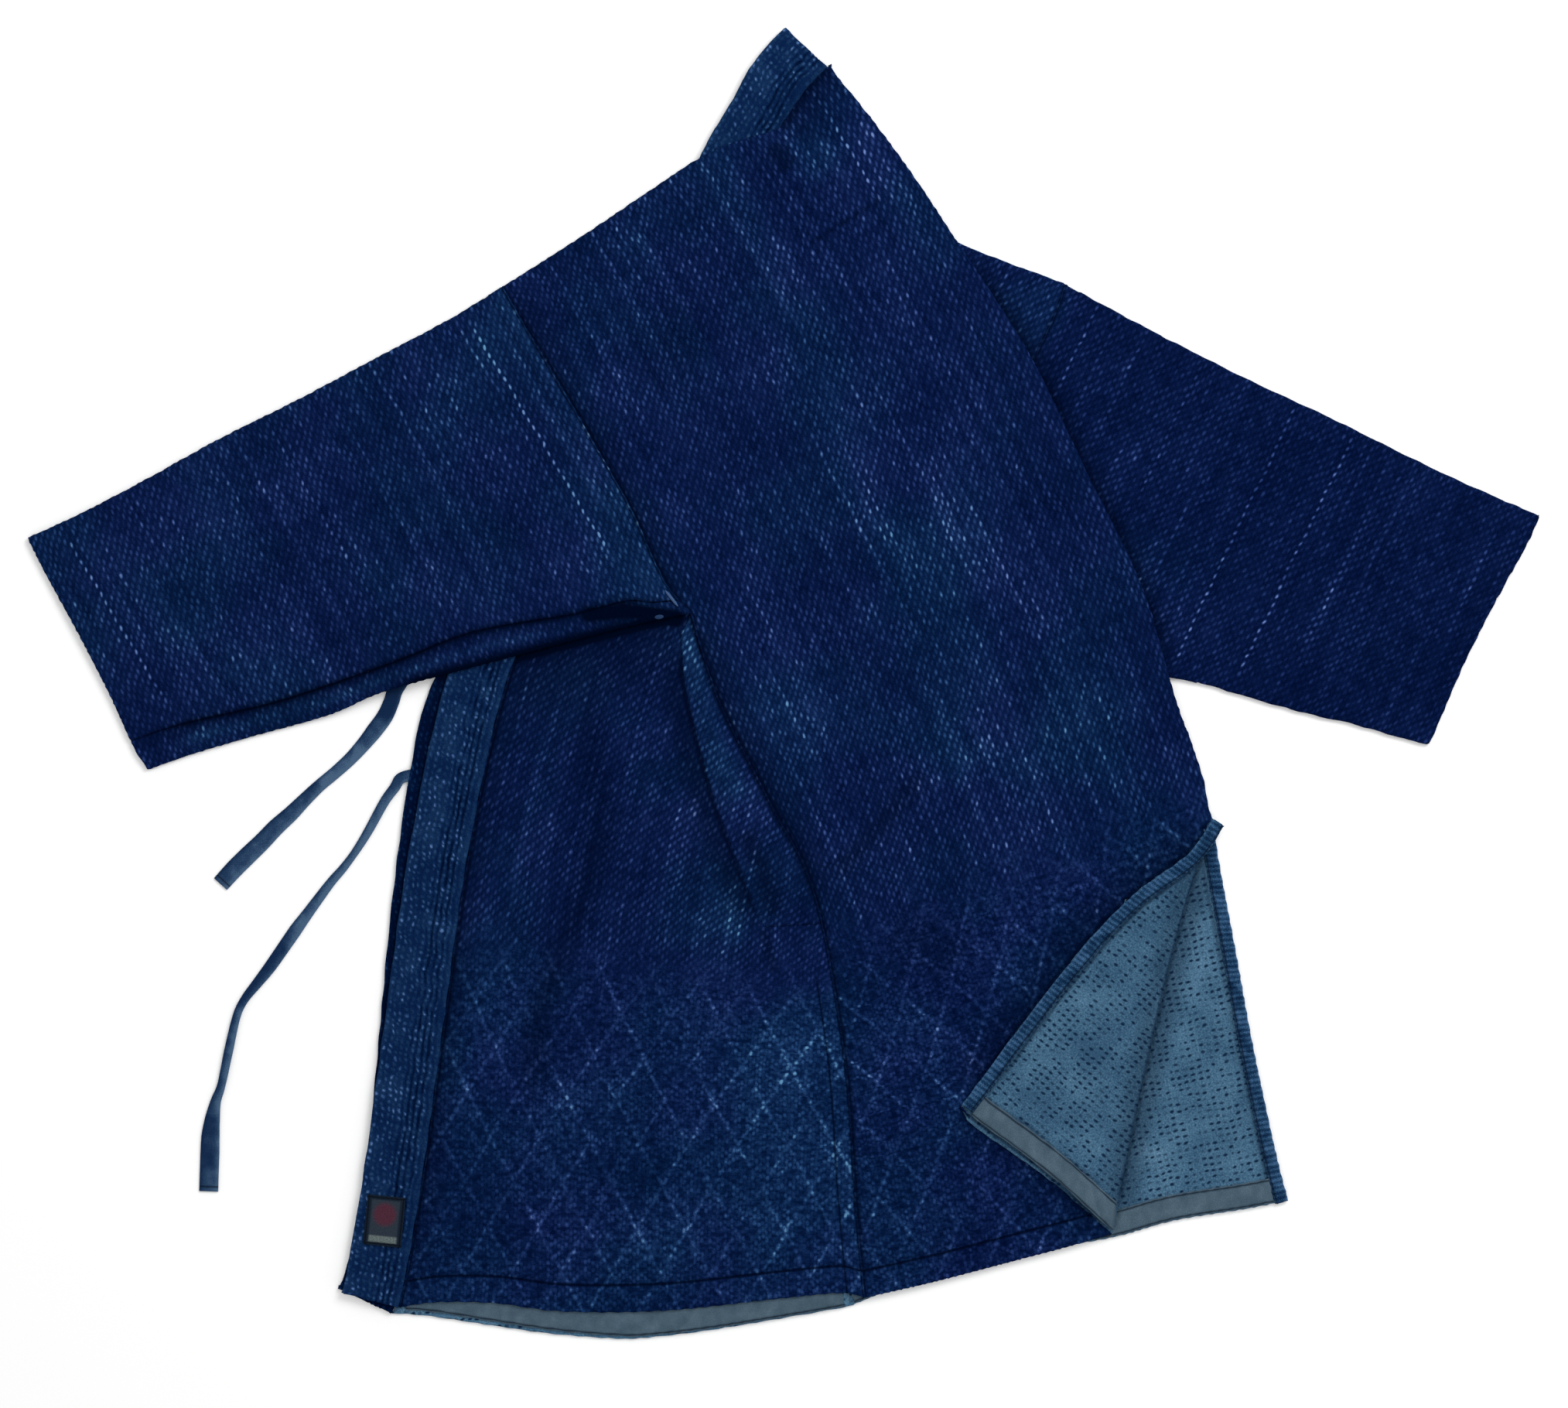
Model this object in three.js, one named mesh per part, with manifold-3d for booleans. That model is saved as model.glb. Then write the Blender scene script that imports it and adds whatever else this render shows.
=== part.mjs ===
// A sashiko jacket of heavy indigo cotton, laid out on its front with its right half turned under.
// Millimetres, +Z up. The floor is z = 0, x runs to the right and y runs towards the neck.
import * as THREE from "three";
import { mergeVertices } from "three/addons/utils/BufferGeometryUtils.js";
import Module from "manifold-3d";

const wasm = await Module();
wasm.setup();

// Driving sizes of the cloth
const CLOTH = 2; // the thick woven cloth of the panels
const COLLAR = 3; // the quilted band, two cloths and a core
const COLLAR_WIDTH = 45;
const COLLAR_RIBS = 5;
const RIB_RISE = 0.4; // a quilted row over the band's mean top, and as much under it in the groove
const TAPE = 1; // hem tape, bindings and label
const HEM_TAPE_WIDTH = 20;
const FLAP_TAPE_WIDTH = 18;
const BINDING_WIDTH = 10;
const TIE_SECTION = 22; // area of the tie's section, 13 mm by 1.7 mm
const LABEL_SIZE = [29, 38];
const GAP = 0.3; // between cloths that touch, and across a seam
const FOLD_WIDTH = 2.2; // the wall that turns over at a fold
const BRIDGE_HALF = 12; // half the width of the strip that joins the left front under the collar
const BRIDGE_CLOTH = 1; // and its thickness, pressed flat
const ROLL_STEP = 0.7; // how far the rolled lower edge of the left sleeve lies under its seam
const PLEAT_RISE = [2.2, 0.3]; // at the underarm and where the pleat dies out
const PLEAT_END = -186;
const NECK_END = 400; // the fronts meet the collar band under this

// How the cloth settles
const FALL = 1 / 5; // steepest slope beside a thickness that lies under it
const CELL = 22; // mesh of the shared grid that every cloth follows
const REACH = CELL * Math.SQRT2;
const EDGE_STEP = 24; // longest side of an outline
const FLATTEN = 0.04; // what may be lost when the mesh is thinned
const ABOVE_ALL = 40;
const CUT_PAST = 3;

// Landmarks, x and y as the cloth lies
const AT = {
  neckFold: [37, 474],
  neckSide: [-3, 424],
  shoulderLeft: [-215, 304],
  underarmLeft: [-70, 54],
  sideHemLeft: [62, -465],
  collarFoot: [-292, -472],
  flapTurn: [252, -416],
  flapCorner: [137, -322],
  ventTop: [329, -103],
  cuffTopLeft: [-578.5, 112],
  cuffLowLeft: [-485, -67],
  shoulderRight: [217, 306],
  underarmRight: [91, 51],
  sideHemRight: [51, -477],
  ventTopRight: [332, -108],
  ventHemRight: [387, -396],
  collarFootRight: [-294, -480],
  cuffTopRight: [578.5, 128],
  cuffLowRight: [493, -44],
  turnTop: [30, 280], // where the hidden turn of the right back leaves the shoulder
  shoulderTop: [58, 375], // where the right back starts on the shoulder
  collarCrossing: [-148, 190], // where the hidden collar crosses the line of the armhole
  bridgeTop: [-174, 234], // the ends of the strip that joins the left front under the collar
  bridgeLow: [-122, 146],
};

// Edges, as the points that a smooth line passes through
const EDGE = {
  shoulderLeft: curve(AT.neckSide, [-36, 414], [-65, 399], [-130, 353], AT.shoulderLeft),
  armholeLeftUpper: curve(AT.shoulderLeft, [-200, 278], AT.collarCrossing),
  armholeLeftLower: curve(AT.collarCrossing, [-117, 135], [-91, 79], AT.underarmLeft),
  sideSeamLeft: curve(AT.underarmLeft, [-49, -13], [-10, -91], [24, -161], [47, -284], AT.sideHemLeft),
  hemFrontLeft: curve(AT.collarFoot, [-218, -471], [-114, -478], [-1, -470], AT.sideHemLeft),
  hemBackLeft: curve(AT.sideHemLeft, [150, -444], AT.flapTurn),
  ventTurn: curve(AT.flapTurn, [274, -314], [300, -200], AT.ventTop),
  centreBack: curve(AT.ventTop, [322, -76], [300, -10], [274, 76], [232, 162], [189, 251],
    [134, 338], [104, 387], [70, 434], AT.neckFold),
  neckSeam: curve(AT.neckFold, [18, 454], AT.neckSide),
  flapVentEdge: curve(AT.ventTop, [310, -130], [263, -166], [212, -223], AT.flapCorner),
  flapHem: curve(AT.flapCorner, [142, -331], [202, -376], AT.flapTurn),
  ventEdgeRight: curve(AT.ventTopRight, [346, -207], [367, -321], [378, -371], AT.ventHemRight),
  hemBackRight: curve(AT.ventHemRight, [333, -405], [182, -441], [113, -457], AT.sideHemRight),
  hemFrontRight: curve(AT.sideHemRight, [-76, -496], [-124, -499.5], [-201, -492], AT.collarFootRight),
  sideSeamRight: curve(AT.sideHemRight, [46, -246], [64, -69], AT.underarmRight),
  turnRightLower: curve(AT.underarmRight, [58, 165], AT.turnTop),
  turnRightUpper: curve(AT.turnTop, AT.neckSide),
  shoulderRightUpper: curve(AT.neckSide, AT.shoulderTop),
  shoulderRightLower: curve(AT.shoulderTop, [136, 337], AT.shoulderRight),
  armholeRight: curve(AT.shoulderRight, [193, 250], AT.underarmRight),
  sleeveTopLeft: curve(AT.shoulderLeft, [-284, 259], [-371, 216], [-462, 168], AT.cuffTopLeft),
  cuffLeft: curve(AT.cuffTopLeft, AT.cuffLowLeft),
  sleeveLowLeft: curve(AT.cuffLowLeft, [-412, -43], [-304, -4], [-209, 21], [-120, 43], AT.underarmLeft),
  sleeveTopRight: curve(AT.shoulderRight, [317, 249], [402, 204], [487, 164], AT.cuffTopRight),
  cuffRight: curve(AT.cuffTopRight, [551, 76], [529, 34], AT.cuffLowRight),
  sleeveLowRight: curve(AT.cuffLowRight, [421, -26], [337, -5], [295, 4], AT.underarmRight),
  sleeveSeamLeft: curve([-496, -49], [-457, -30], [-388, -14], [-301, 15], [-238, 39], [-160, 53],
    [-120, 62], [-70, 57]),
  pleat: curve([-78, 37], [-76, 5], [-69, -29], [-51, -94], [-16, -186]),
};

// The middle line of each half of the collar band, from the neck to its foot
const COLLAR_LINE = {
  left: [[18, 487], [-19, 439], [-36, 411], [-78, 328], [-126, 239], [-178, 132], [-231, 14],
    [-262, -121], [-281, -251], [-298, -367], [-310, -451], [-315.5, -468]],
  right: [[18, 487], [0, 420], [-12, 340], [-28, 260], [-58, 190], [-110, 115], [-170, 60],
    [-225, 22], [-252, -20], [-268, -100], [-284, -251], [-298, -367], [-312, -451], [-316, -474]],
};

// Soft folds that lift a cloth: from and to are their ends, spread is the half width
const FOLDS = {
  sleeveLeft: [
    { from: [-250, 175], to: [-500, 55], spread: 75, rise: 1.8 },
  ],
  sleeveRight: [
    { from: [230, 170], to: [500, 55], spread: 75, rise: 1.8 },
  ],
  backLeft: [
    { from: [-60, 70], to: [40, -130], spread: 45, rise: 2.5 },
    { from: [60, -260], to: [95, -420], spread: 55, rise: 1.5 },
    { from: [150, 330], to: [260, 110], spread: 50, rise: 1.5 },
  ],
  frontLeft: [
    { from: [-150, -60], to: [-120, -260], spread: 45, rise: 1.5 },
  ],
  flap: [
    { from: [322, -125], to: [262, -400], spread: 34, rise: 2.2 },
  ],
  turnedBack: [
    { from: [352, -160], to: [360, -380], spread: 30, rise: 1.2 },
  ],
};

// The ties: the middle line, its height over the floor and the tie's width there
const TIES = {
  left: [
    { x: -247, y: 30, z: 4.2, width: 13 },
    { x: -268, y: 22, z: 4.2, width: 13 },
    { x: -282, y: 14, z: 2.2, width: 13 },
    { x: -296, y: -2, z: 0, width: 12 },
    { x: -300, y: -22, z: 0, width: 11 },
    { x: -312, y: -40, z: 0, width: 12 },
    { x: -332, y: -58, z: 0, width: 13 },
    { x: -360, y: -85, z: 0, width: 12 },
    { x: -391, y: -115, z: 0, width: 13 },
    { x: -415, y: -137, z: 0, width: 13 },
    { x: -431, y: -154, z: 0, width: 13 },
  ],
  right: [
    { x: -283, y: -74, z: 0.8, width: 10 },
    { x: -296, y: -72, z: 0.4, width: 9 },
    { x: -302, y: -79, z: 0, width: 9 },
    { x: -315, y: -106, z: 0, width: 9 },
    { x: -329, y: -127, z: 0, width: 11 },
    { x: -351, y: -160, z: 0, width: 12 },
    { x: -370, y: -186, z: 0, width: 12 },
    { x: -401, y: -227, z: 0, width: 11 },
    { x: -415, y: -246, z: 0, width: 8 },
    { x: -423, y: -276, z: 0, width: 8 },
    { x: -428, y: -301, z: 0, width: 7 },
    { x: -436, y: -322, z: 0, width: 10 },
    { x: -438.5, y: -352, z: 0, width: 12 },
    { x: -439.5, y: -387, z: 0, width: 14 },
  ],
};

const LABEL_AT = { x: -304.7, y: -410.8, turn: -0.1 };

const COLOUR = {
  cloth: { color: "#1b2f5a", roughness: 0.95, metalness: 0 },
  band: { color: "#23406c", roughness: 0.92, metalness: 0 },
  tape: { color: "#6f7a84", roughness: 0.9, metalness: 0 },
  binding: { color: "#27496b", roughness: 0.9, metalness: 0 },
  tie: { color: "#27476a", roughness: 0.9, metalness: 0 },
  label: { color: "#241c2c", roughness: 0.8, metalness: 0 },
};

// Lines and areas

function curve(...points) {
  const line = new THREE.SplineCurve(points.map(([x, y]) => new THREE.Vector2(x, y)));
  const parts = Math.max(1, Math.round(line.getLength() / EDGE_STEP));
  return line.getSpacedPoints(parts).map((p) => [p.x, p.y]);
}

function back(edge) {
  return [...edge].reverse();
}

// The points of a line that lie within some heights of y
function part(edge, { above = -Infinity, below = Infinity }) {
  return edge.filter(([, y]) => y > above && y < below);
}

// One closed outline from edges that follow each other
function outline(...edges) {
  const points = edges.flat();
  return points.filter(([x, y], k) => {
    const [px, py] = points[(k + points.length - 1) % points.length];
    return Math.hypot(x - px, y - py) > 0.5;
  });
}

// A line moved sideways, to its left for a positive distance
function beside(edge, distance) {
  return edge.map(([x, y], k) => {
    const [ax, ay] = edge[Math.max(k - 1, 0)];
    const [bx, by] = edge[Math.min(k + 1, edge.length - 1)];
    const run = Math.hypot(bx - ax, by - ay);
    return [x - ((by - ay) / run) * distance, y + ((bx - ax) / run) * distance];
  });
}

// The area between a line moved to one side and the same line moved to another
function strip(edge, near, far) {
  return outline(beside(edge, near), back(beside(edge, far)));
}

function distanceToSegment(x, y, [ax, ay], [bx, by]) {
  const run = (bx - ax) ** 2 + (by - ay) ** 2;
  const share = run ? ((x - ax) * (bx - ax) + (y - ay) * (by - ay)) / run : 0;
  const t = Math.min(1, Math.max(0, share));
  return Math.hypot(x - ax - t * (bx - ax), y - ay - t * (by - ay));
}

// How far a point lies outside an area, 0 inside it
function outside(area, x, y) {
  let within = false;
  let nearest = Infinity;
  area.forEach((a, k) => {
    const b = area[(k + 1) % area.length];
    if (a[1] > y !== b[1] > y && x < ((b[0] - a[0]) * (y - a[1])) / (b[1] - a[1]) + a[0]) within = !within;
    nearest = Math.min(nearest, distanceToSegment(x, y, a, b));
  });
  return within ? 0 : nearest;
}

// The shared grid and the heights on it

const GRID = { x: -594, y: -528, columns: 54, rows: 48 };

function heights(at) {
  const out = [];
  for (let j = 0; j <= GRID.rows; j++) {
    for (let i = 0; i <= GRID.columns; i++) {
      out.push(at(GRID.x + i * CELL, GRID.y + j * CELL, out.length));
    }
  }
  return out;
}

const FLOOR = heights(() => 0);

function lifted(ground, rise) {
  return ground.map((z) => z + rise);
}

// The height at any point, on the same triangles as the grid's
function heightAt(ground, x, y) {
  const u = (x - GRID.x) / CELL;
  const v = (y - GRID.y) / CELL;
  const i = Math.floor(u);
  const j = Math.floor(v);
  const z = (di, dj) => ground[(j + dj) * (GRID.columns + 1) + i + di];
  const [s, t] = [u - i, v - j];
  if (s > t) return z(0, 0) + s * (z(1, 0) - z(0, 0)) + t * (z(1, 1) - z(1, 0));
  return z(0, 0) + t * (z(0, 1) - z(0, 0)) + s * (z(1, 1) - z(0, 1));
}

// The lowest a cloth can lie over those under it, given as an area and the heights of its top
function over(...layers) {
  return heights((x, y, k) =>
    layers.reduce((high, { area, top }) => {
      const away = Math.max(0, outside(area, x, y) - REACH);
      return Math.max(high, top[k] + GAP - FALL * away);
    }, 0),
  );
}

function folded(ground, folds) {
  return heights((x, y, k) =>
    folds.reduce((z, { from, to, spread, rise }) => {
      const near = Math.max(0, 1 - distanceToSegment(x, y, from, to) / spread);
      return z + rise * near * near * (3 - 2 * near);
    }, ground[k]),
  );
}

// Solids

function solidOf(geometry) {
  geometry.deleteAttribute("normal");
  geometry.deleteAttribute("uv");
  const merged = mergeVertices(geometry, 1e-4);
  return new wasm.Manifold(
    new wasm.Mesh({
      numProp: 3,
      vertProperties: new Float32Array(merged.attributes.position.array),
      triVerts: new Uint32Array(merged.index.array),
    }),
  );
}

// A closed solid between two grids of points that share their outline
function gridSolid(columns, rows, low, high) {
  const positions = [];
  const faces = [];
  const side = (columns + 1) * (rows + 1);
  for (const at of [low, high]) {
    for (let j = 0; j <= rows; j++) {
      for (let i = 0; i <= columns; i++) positions.push(...at(i, j));
    }
  }
  const id = (i, j) => j * (columns + 1) + i;
  const quad = (a, b, c, d) => faces.push(a, b, c, a, c, d);
  for (let j = 0; j < rows; j++) {
    for (let i = 0; i < columns; i++) {
      const [a, b, c, d] = [id(i, j), id(i + 1, j), id(i + 1, j + 1), id(i, j + 1)];
      quad(a + side, b + side, c + side, d + side);
      faces.push(a, c, b, a, d, c);
    }
  }
  const wall = (a, b) => quad(a, b, b + side, a + side);
  for (let i = 0; i < columns; i++) {
    wall(id(i, 0), id(i + 1, 0));
    wall(id(i + 1, rows), id(i, rows));
  }
  for (let j = 0; j < rows; j++) {
    wall(id(0, j + 1), id(0, j));
    wall(id(columns, j), id(columns, j + 1));
  }
  const geometry = new THREE.BufferGeometry();
  geometry.setAttribute("position", new THREE.Float32BufferAttribute(positions, 3));
  geometry.setIndex(faces);
  return solidOf(geometry);
}

// An upright block on an area
function block(area) {
  const shape = new THREE.Shape(area.map(([x, y]) => new THREE.Vector2(x, y)));
  const geometry = new THREE.ExtrudeGeometry(shape, { depth: 2 * ABOVE_ALL, bevelEnabled: false });
  return solidOf(geometry.translate(0, 0, -ABOVE_ALL));
}

// Everything between two heights, under the cells that an area touches
function between(area, low, high) {
  const xs = area.map(([x]) => x);
  const ys = area.map(([, y]) => y);
  const i0 = Math.floor((Math.min(...xs) - GRID.x) / CELL) - 1;
  const j0 = Math.floor((Math.min(...ys) - GRID.y) / CELL) - 1;
  const columns = Math.ceil((Math.max(...xs) - GRID.x) / CELL) + 1 - i0;
  const rows = Math.ceil((Math.max(...ys) - GRID.y) / CELL) + 1 - j0;
  const at = (ground) => (i, j) => [
    GRID.x + (i0 + i) * CELL,
    GRID.y + (j0 + j) * CELL,
    ground[(j0 + j) * (GRID.columns + 1) + i0 + i],
  ];
  return gridSolid(columns, rows, at(low), at(high));
}

function slab(area, low, high) {
  return between(area, low, high).intersect(block(area));
}

function cloth(area, low, thickness = CLOTH) {
  return slab(area, low, lifted(low, thickness));
}

// A line made a little longer at both ends, so that a cut along it goes right through
function longer(edge) {
  const ahead = ([ax, ay], [bx, by]) => {
    const run = Math.hypot(bx - ax, by - ay);
    return [bx + ((bx - ax) * CUT_PAST) / run, by + ((by - ay) * CUT_PAST) / run];
  };
  const [first, last] = [ahead(edge[1], edge[0]), ahead(edge.at(-2), edge.at(-1))];
  return [first, ...edge.slice(1, -1), last];
}

// What lies beside a line, to cut a cloth back from it
function beyond(edge, near, far) {
  return block(strip(longer(edge), near, far));
}

// The gap of a seam along an edge
function seam(edge) {
  return beyond(edge, GAP / 2, -GAP / 2);
}

// The collar band: quilted rows on top, its underside on what carries it
function band(points, low) {
  const line = curve(...points);
  const columns = 2 * COLLAR_RIBS;
  const place = (i, j, z) => {
    const [x, y] = beside(line, COLLAR_WIDTH * (0.5 - i / columns))[j];
    return [x, y, z(x, y, i)];
  };
  const rowHeight = (i) => (i % 2 ? RIB_RISE : -RIB_RISE);
  const top = (x, y, i) => heightAt(low, x, y) + COLLAR + rowHeight(i);
  const solid = gridSolid(
    columns,
    line.length - 1,
    (i, j) => place(i, j, () => -ABOVE_ALL),
    (i, j) => place(i, j, top),
  );
  const area = strip(line, COLLAR_WIDTH / 2, -COLLAR_WIDTH / 2);
  return { area, low, solid: solid.intersect(between(area, low, lifted(low, COLLAR + RIB_RISE))) };
}

// A tie: a flat tape, thicker where it is crumpled narrow
function tie(stations) {
  const line = new THREE.CatmullRomCurve3(stations.map(({ x, y, z }) => new THREE.Vector3(x, y, z)));
  const steps = (stations.length - 1) * 2;
  const widthAt = (share) => {
    const along = share * (stations.length - 1);
    const k = Math.min(stations.length - 2, Math.floor(along));
    return THREE.MathUtils.lerp(stations[k].width, stations[k + 1].width, along - k);
  };
  const place = (i, j, top) => {
    const share = j / steps;
    const at = line.getPoint(share);
    const along = line.getTangent(share);
    const across = new THREE.Vector2(along.y, -along.x).normalize();
    const width = widthAt(share);
    const out = width * (i / 2 - 0.5);
    const thickness = top ? TIE_SECTION / width : 0;
    return [at.x + across.x * out, at.y + across.y * out, Math.max(0, at.z) + thickness];
  };
  return gridSolid(2, steps, (i, j) => place(i, j, false), (i, j) => place(i, j, true));
}

// A flattened tube: two walls, open at both ends, joined along its folds
function tube(area, turns, low, high) {
  const top = lifted(high, CLOTH);
  const joined = turns.map((turn) => slab(strip(turn, FOLD_WIDTH, -FOLD_WIDTH), low, top));
  const walls = cloth(area, low).add(cloth(area, high));
  return joined.reduce((whole, turn) => whole.add(turn.intersect(block(area))), walls);
}

// A thin piece sewn on a cloth, given by the height of that cloth's top
function cover(area, ground) {
  return cloth(area, lifted(ground, GAP), TAPE);
}

function room(points) {
  return block(strip(curve(...points), COLLAR_WIDTH / 2 + GAP, -COLLAR_WIDTH / 2 - GAP));
}

// The right half lies lowest: its front, collar and the under wall of its sleeve are on the floor

const frontRightArea = outline(
  EDGE.shoulderRightUpper,
  EDGE.shoulderRightLower,
  EDGE.armholeRight,
  back(EDGE.sideSeamRight),
  EDGE.hemFrontRight,
  back(part(curve(...COLLAR_LINE.right), { below: NECK_END })),
);
const frontRightTop = lifted(FLOOR, CLOTH);
const frontRight = cloth(frontRightArea, FLOOR)
  .subtract(room(COLLAR_LINE.right))
  .subtract(seam(EDGE.armholeRight));
const bandRight = band(COLLAR_LINE.right, FLOOR);

const sleeveRightArea = outline(
  EDGE.sleeveTopRight,
  EDGE.cuffRight,
  EDGE.sleeveLowRight,
  back(EDGE.armholeRight),
);
const upperRight = folded(lifted(FLOOR, CLOTH + GAP), FOLDS.sleeveRight);
const upperRightTop = lifted(upperRight, CLOTH);
const sleeveRightTurns = [EDGE.sleeveTopRight, EDGE.sleeveLowRight];
const sleeveRight = tube(sleeveRightArea, sleeveRightTurns, FLOOR, upperRight)
  .subtract(seam(EDGE.armholeRight));

// The right back lies on the front at the shoulder, turns over along a hidden line from the neck to
// the underarm, and comes back over the sleeve to the centre back
const shoulderBackArea = outline(EDGE.shoulderRightLower, EDGE.armholeRight, EDGE.turnRightLower);
const turnedBackArea = outline(
  back(EDGE.neckSeam),
  back(EDGE.centreBack),
  EDGE.ventEdgeRight,
  EDGE.hemBackRight,
  EDGE.sideSeamRight,
  EDGE.turnRightLower,
  EDGE.turnRightUpper,
);
const turnedBack = folded(
  over(
    { area: shoulderBackArea, top: upperRightTop },
    { area: sleeveRightArea, top: upperRightTop },
    { area: [AT.neckSide, AT.shoulderTop, AT.turnTop], top: frontRightTop },
  ),
  FOLDS.turnedBack,
);
const turnedBackTop = lifted(turnedBack, CLOTH);
const sleeveSideRight = strip(longer(EDGE.armholeRight), COLLAR_WIDTH, -GAP / 2);
const backRight = cloth(turnedBackArea, turnedBack)
  .subtract(room(COLLAR_LINE.right))
  .subtract(seam(EDGE.sideSeamRight))
  .add(cloth(shoulderBackArea, upperRight))
  .add(slab(strip(EDGE.turnRightLower, 0, -FOLD_WIDTH), upperRight, turnedBackTop))
  .subtract(slab(sleeveSideRight, FLOOR, lifted(upperRightTop, GAP / 2)));

const tapeFrontArea = strip(EDGE.hemFrontRight, 0, -HEM_TAPE_WIDTH);
const tapeFrontRight = cover(tapeFrontArea, frontRightTop)
  .subtract(room(COLLAR_LINE.right))
  .subtract(beyond(EDGE.sideSeamRight, GAP / 2, -HEM_TAPE_WIDTH));
const tapeBackArea = strip(EDGE.hemBackRight, 0, -HEM_TAPE_WIDTH);
const tapeBackRight = cover(tapeBackArea, turnedBackTop)
  .subtract(beyond(EDGE.sideSeamRight, HEM_TAPE_WIDTH, -GAP / 2))
  .subtract(beyond(EDGE.ventEdgeRight, HEM_TAPE_WIDTH, -BINDING_WIDTH - GAP));
const bindingRight = cover(strip(EDGE.ventEdgeRight, 0, -BINDING_WIDTH), turnedBackTop)
  .subtract(beyond(EDGE.ventTurn, BINDING_WIDTH, -GAP));

// The left half lies on it, front first

const armholeLeft = [...EDGE.armholeLeftUpper, ...EDGE.armholeLeftLower.slice(1)];

const rightHalf = [
  { area: frontRightArea, top: frontRightTop },
  { area: bandRight.area, top: lifted(FLOOR, COLLAR + RIB_RISE) },
  { area: turnedBackArea, top: turnedBackTop },
  { area: tapeFrontArea, top: lifted(frontRightTop, GAP + TAPE) },
  { area: tapeBackArea, top: lifted(turnedBackTop, GAP + TAPE) },
];
const collarLeftLine = curve(...COLLAR_LINE.left);
const shoulderFrontArea = outline(
  EDGE.shoulderLeft,
  EDGE.armholeLeftUpper,
  back(part(collarLeftLine, { above: AT.collarCrossing[1], below: NECK_END })),
);
const lowerFrontArea = outline(
  EDGE.armholeLeftLower,
  EDGE.sideSeamLeft,
  back(EDGE.hemFrontLeft),
  back(part(collarLeftLine, { below: AT.collarCrossing[1] })),
);
const bridgeArea = strip([AT.bridgeTop, AT.collarCrossing, AT.bridgeLow], BRIDGE_HALF, -BRIDGE_HALF);
const frontLeft = folded(over(...rightHalf), FOLDS.frontLeft);
const frontLeftTop = lifted(frontLeft, CLOTH);
const bridge = { area: bridgeArea, top: lifted(frontLeft, BRIDGE_CLOTH) };
const bandLeft = band(COLLAR_LINE.left, over(...rightHalf, bridge));
const pleatArea = outline(EDGE.pleat, back(part(EDGE.sideSeamLeft, { above: PLEAT_END })));
const pleatTop = heights((x, y, k) => {
  const share = THREE.MathUtils.clamp((y - PLEAT_END) / (AT.underarmLeft[1] - PLEAT_END), 0, 1);
  return frontLeftTop[k] + THREE.MathUtils.lerp(PLEAT_RISE[1], PLEAT_RISE[0], share);
});
const frontLeftPanel = cloth(shoulderFrontArea, frontLeft)
  .add(cloth(lowerFrontArea, frontLeft))
  .subtract(room(COLLAR_LINE.left))
  .subtract(seam(armholeLeft))
  .add(cloth(bridgeArea, frontLeft, BRIDGE_CLOTH))
  .add(slab(pleatArea, frontLeft, pleatTop))
  .subtract(seam(EDGE.sideSeamLeft));

const tieLeft = tie(TIES.left).subtract(room(COLLAR_LINE.left));
const tieRight = tie(TIES.right).subtract(room(COLLAR_LINE.right));
const tieLeftRoom = TIES.left.slice(1).map((to, k) => {
  const from = TIES.left[k];
  return {
    area: strip([[from.x, from.y], [to.x, to.y]], to.width / 2, -to.width / 2),
    top: lifted(FLOOR, Math.max(from.z, to.z) + TIE_SECTION / Math.min(from.width, to.width)),
  };
});

// The left sleeve and back share one height along the armhole

const sleeveLeftArea = outline(
  EDGE.sleeveTopLeft,
  EDGE.cuffLeft,
  EDGE.sleeveLowLeft,
  back(armholeLeft),
);
const bandLeftTop = lifted(bandLeft.low, COLLAR + RIB_RISE);
const bandLeftLayer = { area: bandLeft.area, top: bandLeftTop };
const lowerLeft = over(
  ...rightHalf,
  bandLeftLayer,
  bridge,
  { area: lowerFrontArea, top: frontLeftTop },
  ...tieLeftRoom,
);
const topLayer = folded(
  over(
    ...rightHalf,
    bandLeftLayer,
    { area: shoulderFrontArea, top: frontLeftTop },
    bridge,
    { area: sleeveLeftArea, top: lifted(lowerLeft, CLOTH) },
  ),
  [...FOLDS.sleeveLeft, ...FOLDS.backLeft],
);
const rollArea = outline(EDGE.sleeveSeamLeft, beside(back(EDGE.sleeveLowLeft), CUT_PAST));
const sleeveLeft = tube(sleeveLeftArea, [EDGE.sleeveTopLeft, EDGE.sleeveLowLeft], lowerLeft, topLayer)
  .subtract(slab(rollArea, lifted(topLayer, CLOTH - ROLL_STEP), lifted(topLayer, ABOVE_ALL)))
  .subtract(seam(armholeLeft));

const backLeftArea = outline(
  EDGE.shoulderLeft,
  armholeLeft,
  EDGE.sideSeamLeft,
  EDGE.hemBackLeft,
  EDGE.ventTurn,
  EDGE.centreBack,
  EDGE.neckSeam,
);
const flapArea = outline(EDGE.flapVentEdge, EDGE.flapHem, EDGE.ventTurn);
const flap = folded(lifted(topLayer, CLOTH + GAP), FOLDS.flap);
const flapTop = lifted(flap, CLOTH);
const backLeft = cloth(backLeftArea, topLayer)
  .subtract(seam(armholeLeft))
  .subtract(seam(EDGE.sideSeamLeft))
  .add(cloth(flapArea, flap))
  .add(slab(strip(EDGE.ventTurn, 0, FOLD_WIDTH), topLayer, flapTop));
const bindingLeft = cover(strip(EDGE.flapVentEdge, 0, BINDING_WIDTH), flapTop);
const tapeBackLeft = cover(strip(EDGE.flapHem, 0, FLAP_TAPE_WIDTH), flapTop)
  .subtract(block(strip(EDGE.flapVentEdge, -FLAP_TAPE_WIDTH, BINDING_WIDTH + GAP)));

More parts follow.
